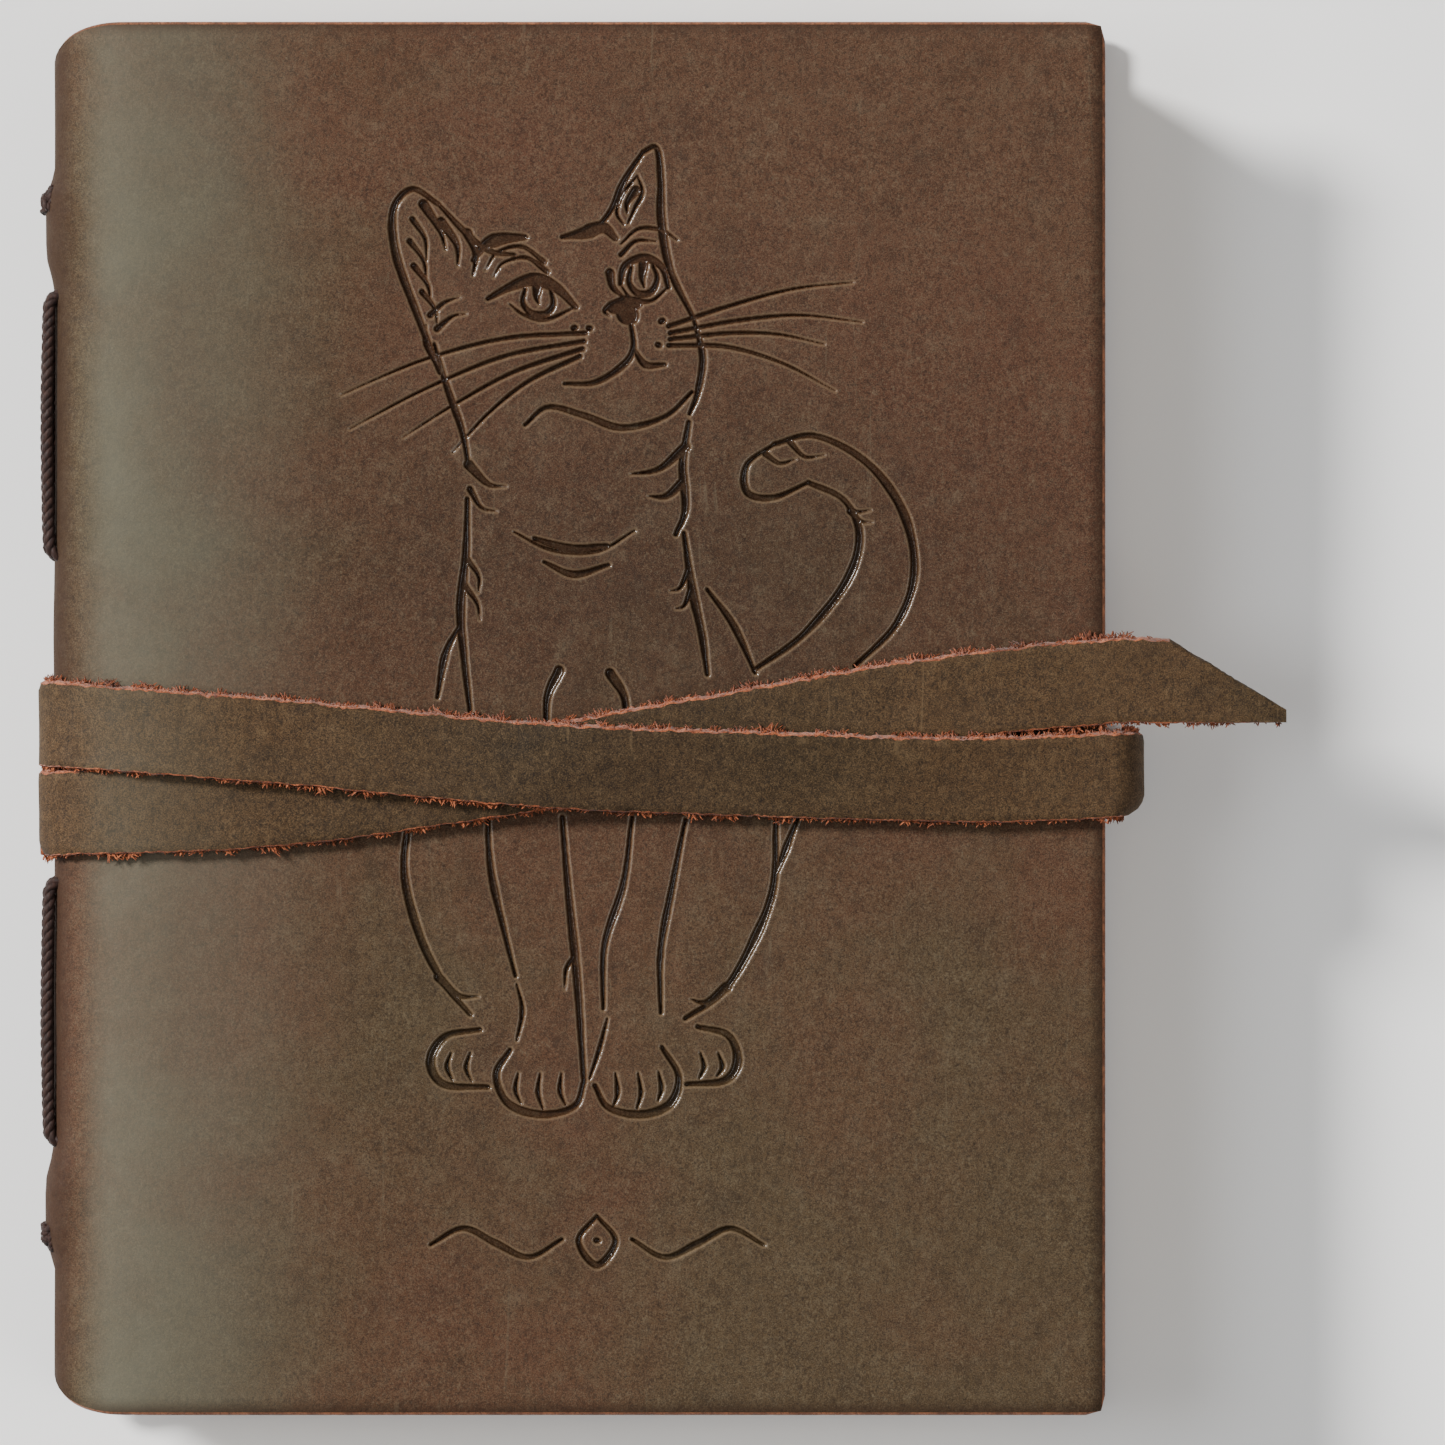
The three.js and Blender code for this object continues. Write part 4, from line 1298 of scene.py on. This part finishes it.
def bend_points(corner_x, corner_z, flat_reach, upright_reach, inward_x, inward_z):
    """Where a bend of the strap starts to follow its hinge, on the flat run and on the upright run.

    The reaches are the ones with which the bend straightens to the flattest ribbon.
    """
    flat = row_point(corner_x + inward_x * flat_reach, 0, corner_z)
    upright = row_point(corner_x, 0, corner_z + inward_z * upright_reach)
    return flat, upright


SPINE_REACHES = (16.0, 14.5)
FORE_REACHES = (5.0, 5.0)
spine_low = bend_points(CLIMB_X, LOW_Z, *SPINE_REACHES, 1, 1)
spine_high = bend_points(CLIMB_X, TOP_Z, *SPINE_REACHES, 1, -1)
fore_high = bend_points(FORE_BULGE_X, TOP_Z, *FORE_REACHES, -1, -1)
fore_low = bend_points(FORE_BULGE_X, LOW_Z, *FORE_REACHES, -1, 1)

first_up, first_over = split_at_height(wrap_one, MIDDLE_Z)
fore_over, fore_under = split_at_height(fore_loop, MIDDLE_Z)
second_up, second_over = split_at_height(wrap_two, MIDDLE_Z)

STRAP_PIECES = [
    ("strap_1_anchor", first_up, anchor_y, "back", "back_half", "strap_spine_1", spine_low,
     ["strap_anchor_run"]),
    ("strap_2_over_spine", first_over, front_y, "front", "strap_spine_1", "strap_front",
     spine_high[::-1], ["strap_spine_run_1"]),
    ("strap_3_over_fore_edge", fore_over, front_y, "front", "strap_front", "strap_fore_edge",
     fore_high, ["strap_front_run", "strap_fore_edge_run"]),
    ("strap_4_under_fore_edge", fore_under, back_y, "back", "strap_fore_edge", "strap_back",
     fore_low[::-1], []),
    ("strap_5_under_spine", second_up, back_y, "back", "strap_back", "strap_spine_2", spine_low,
     ["strap_back_run"]),
    ("strap_6_tail", second_over, tail_y, "tail", "strap_spine_2", "strap_tail",
     spine_high[::-1], ["strap_spine_run_2", "strap_tail"]),
]


def build_strap():
    """The strap, one mesh for each piece along its path, hiding the model's strap parts that it stands for."""
    along = 0.0
    for name, line, centre_y, run, body_a, body_b, (start, end), nodes in STRAP_PIECES:
        made = strap_piece(name, line, centre_y, run, along)
        along += float(np.linalg.norm(np.diff(np.array(line), axis=0), axis=1).sum())
        if nodes:
            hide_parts(*nodes)
        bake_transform(made)


build_strap()

# ---------------------------------------------------------------- stitches that hold the strap's end
for stitch_number in range(1, 5):
    node = f"anchor_stitch_{stitch_number}"
    low, high = box_mm(node)
    stitch_y = (low[1] + high[1]) / 2
    x0 = low[0] - CENTRE_X + 0.5
    x1 = high[0] - CENTRE_X - 0.5
    loop = MeshParts()
    path_points = [
        (x0, stitch_y, 2.2),
        (x0, stitch_y, 1.1),
        (x0 + 0.5, stitch_y, 0.56),
        ((x0 + x1) / 2, stitch_y, 0.5),
        (x1 - 0.5, stitch_y, 0.56),
        (x1, stitch_y, 1.1),
        (x1, stitch_y, 2.2),
    ]
    twisted_cord(loop, path_points, radius=0.5, pitch=2.0)
    made_stitch = loop.build(f"{node}_cord", [waxed_cord])
    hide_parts(node)
    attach(made_stitch, "back_half")

# ---------------------------------------------------------------- floor and light
floor_mesh = bpy.data.meshes.new("floor")
FLOOR = 3.0
floor_mesh.from_pydata(
    [(-FLOOR, -FLOOR, 0), (FLOOR, -FLOOR, 0), (FLOOR, FLOOR, 0), (-FLOOR, FLOOR, 0)], [], [[0, 1, 2, 3]]
)
floor = bpy.data.objects.new("floor", floor_mesh)
bpy.context.collection.objects.link(floor)
floor_nodes = Nodes("pale_floor")
floor_tone = floor_nodes.mix(
    floor_nodes.ramp(floor_nodes.noise(6, 2), 0.3, 0.7), (0.92, 0.92, 0.92, 1), (0.94, 0.94, 0.935, 1)
)
floor_mesh.materials.append(floor_nodes.finish(floor_tone, 0.85, None, 0.2))


def area_light(name, place, target, size, power, tone):
    data = bpy.data.lights.new(name, "AREA")
    data.shape = "DISK"
    data.size = size
    data.energy = power
    data.color = tone
    light = bpy.data.objects.new(name, data)
    light.location = place
    light.rotation_euler = (Vector(target) - Vector(place)).to_track_quat("-Z", "Y").to_euler()
    bpy.context.collection.objects.link(light)


area_light("key", (-2.9, 1.6, 2.3), (0, 0, 0), 0.9, 340, (1.0, 0.98, 0.95))
area_light("sheen", (-0.9, 0.08, 1.5), (0, 0, 0), 0.75, 9, (0.94, 0.97, 1.0))
area_light("fill", (0.9, -0.4, 1.1), (0, 0, 0), 0.9, 7, (1.0, 0.98, 0.96))
world = bpy.data.worlds.new("studio")
world.use_nodes = True
world.node_tree.nodes["Background"].inputs["Color"].default_value = (1, 1, 1, 1)
world.node_tree.nodes["Background"].inputs["Strength"].default_value = 0.26
bpy.context.scene.world = world
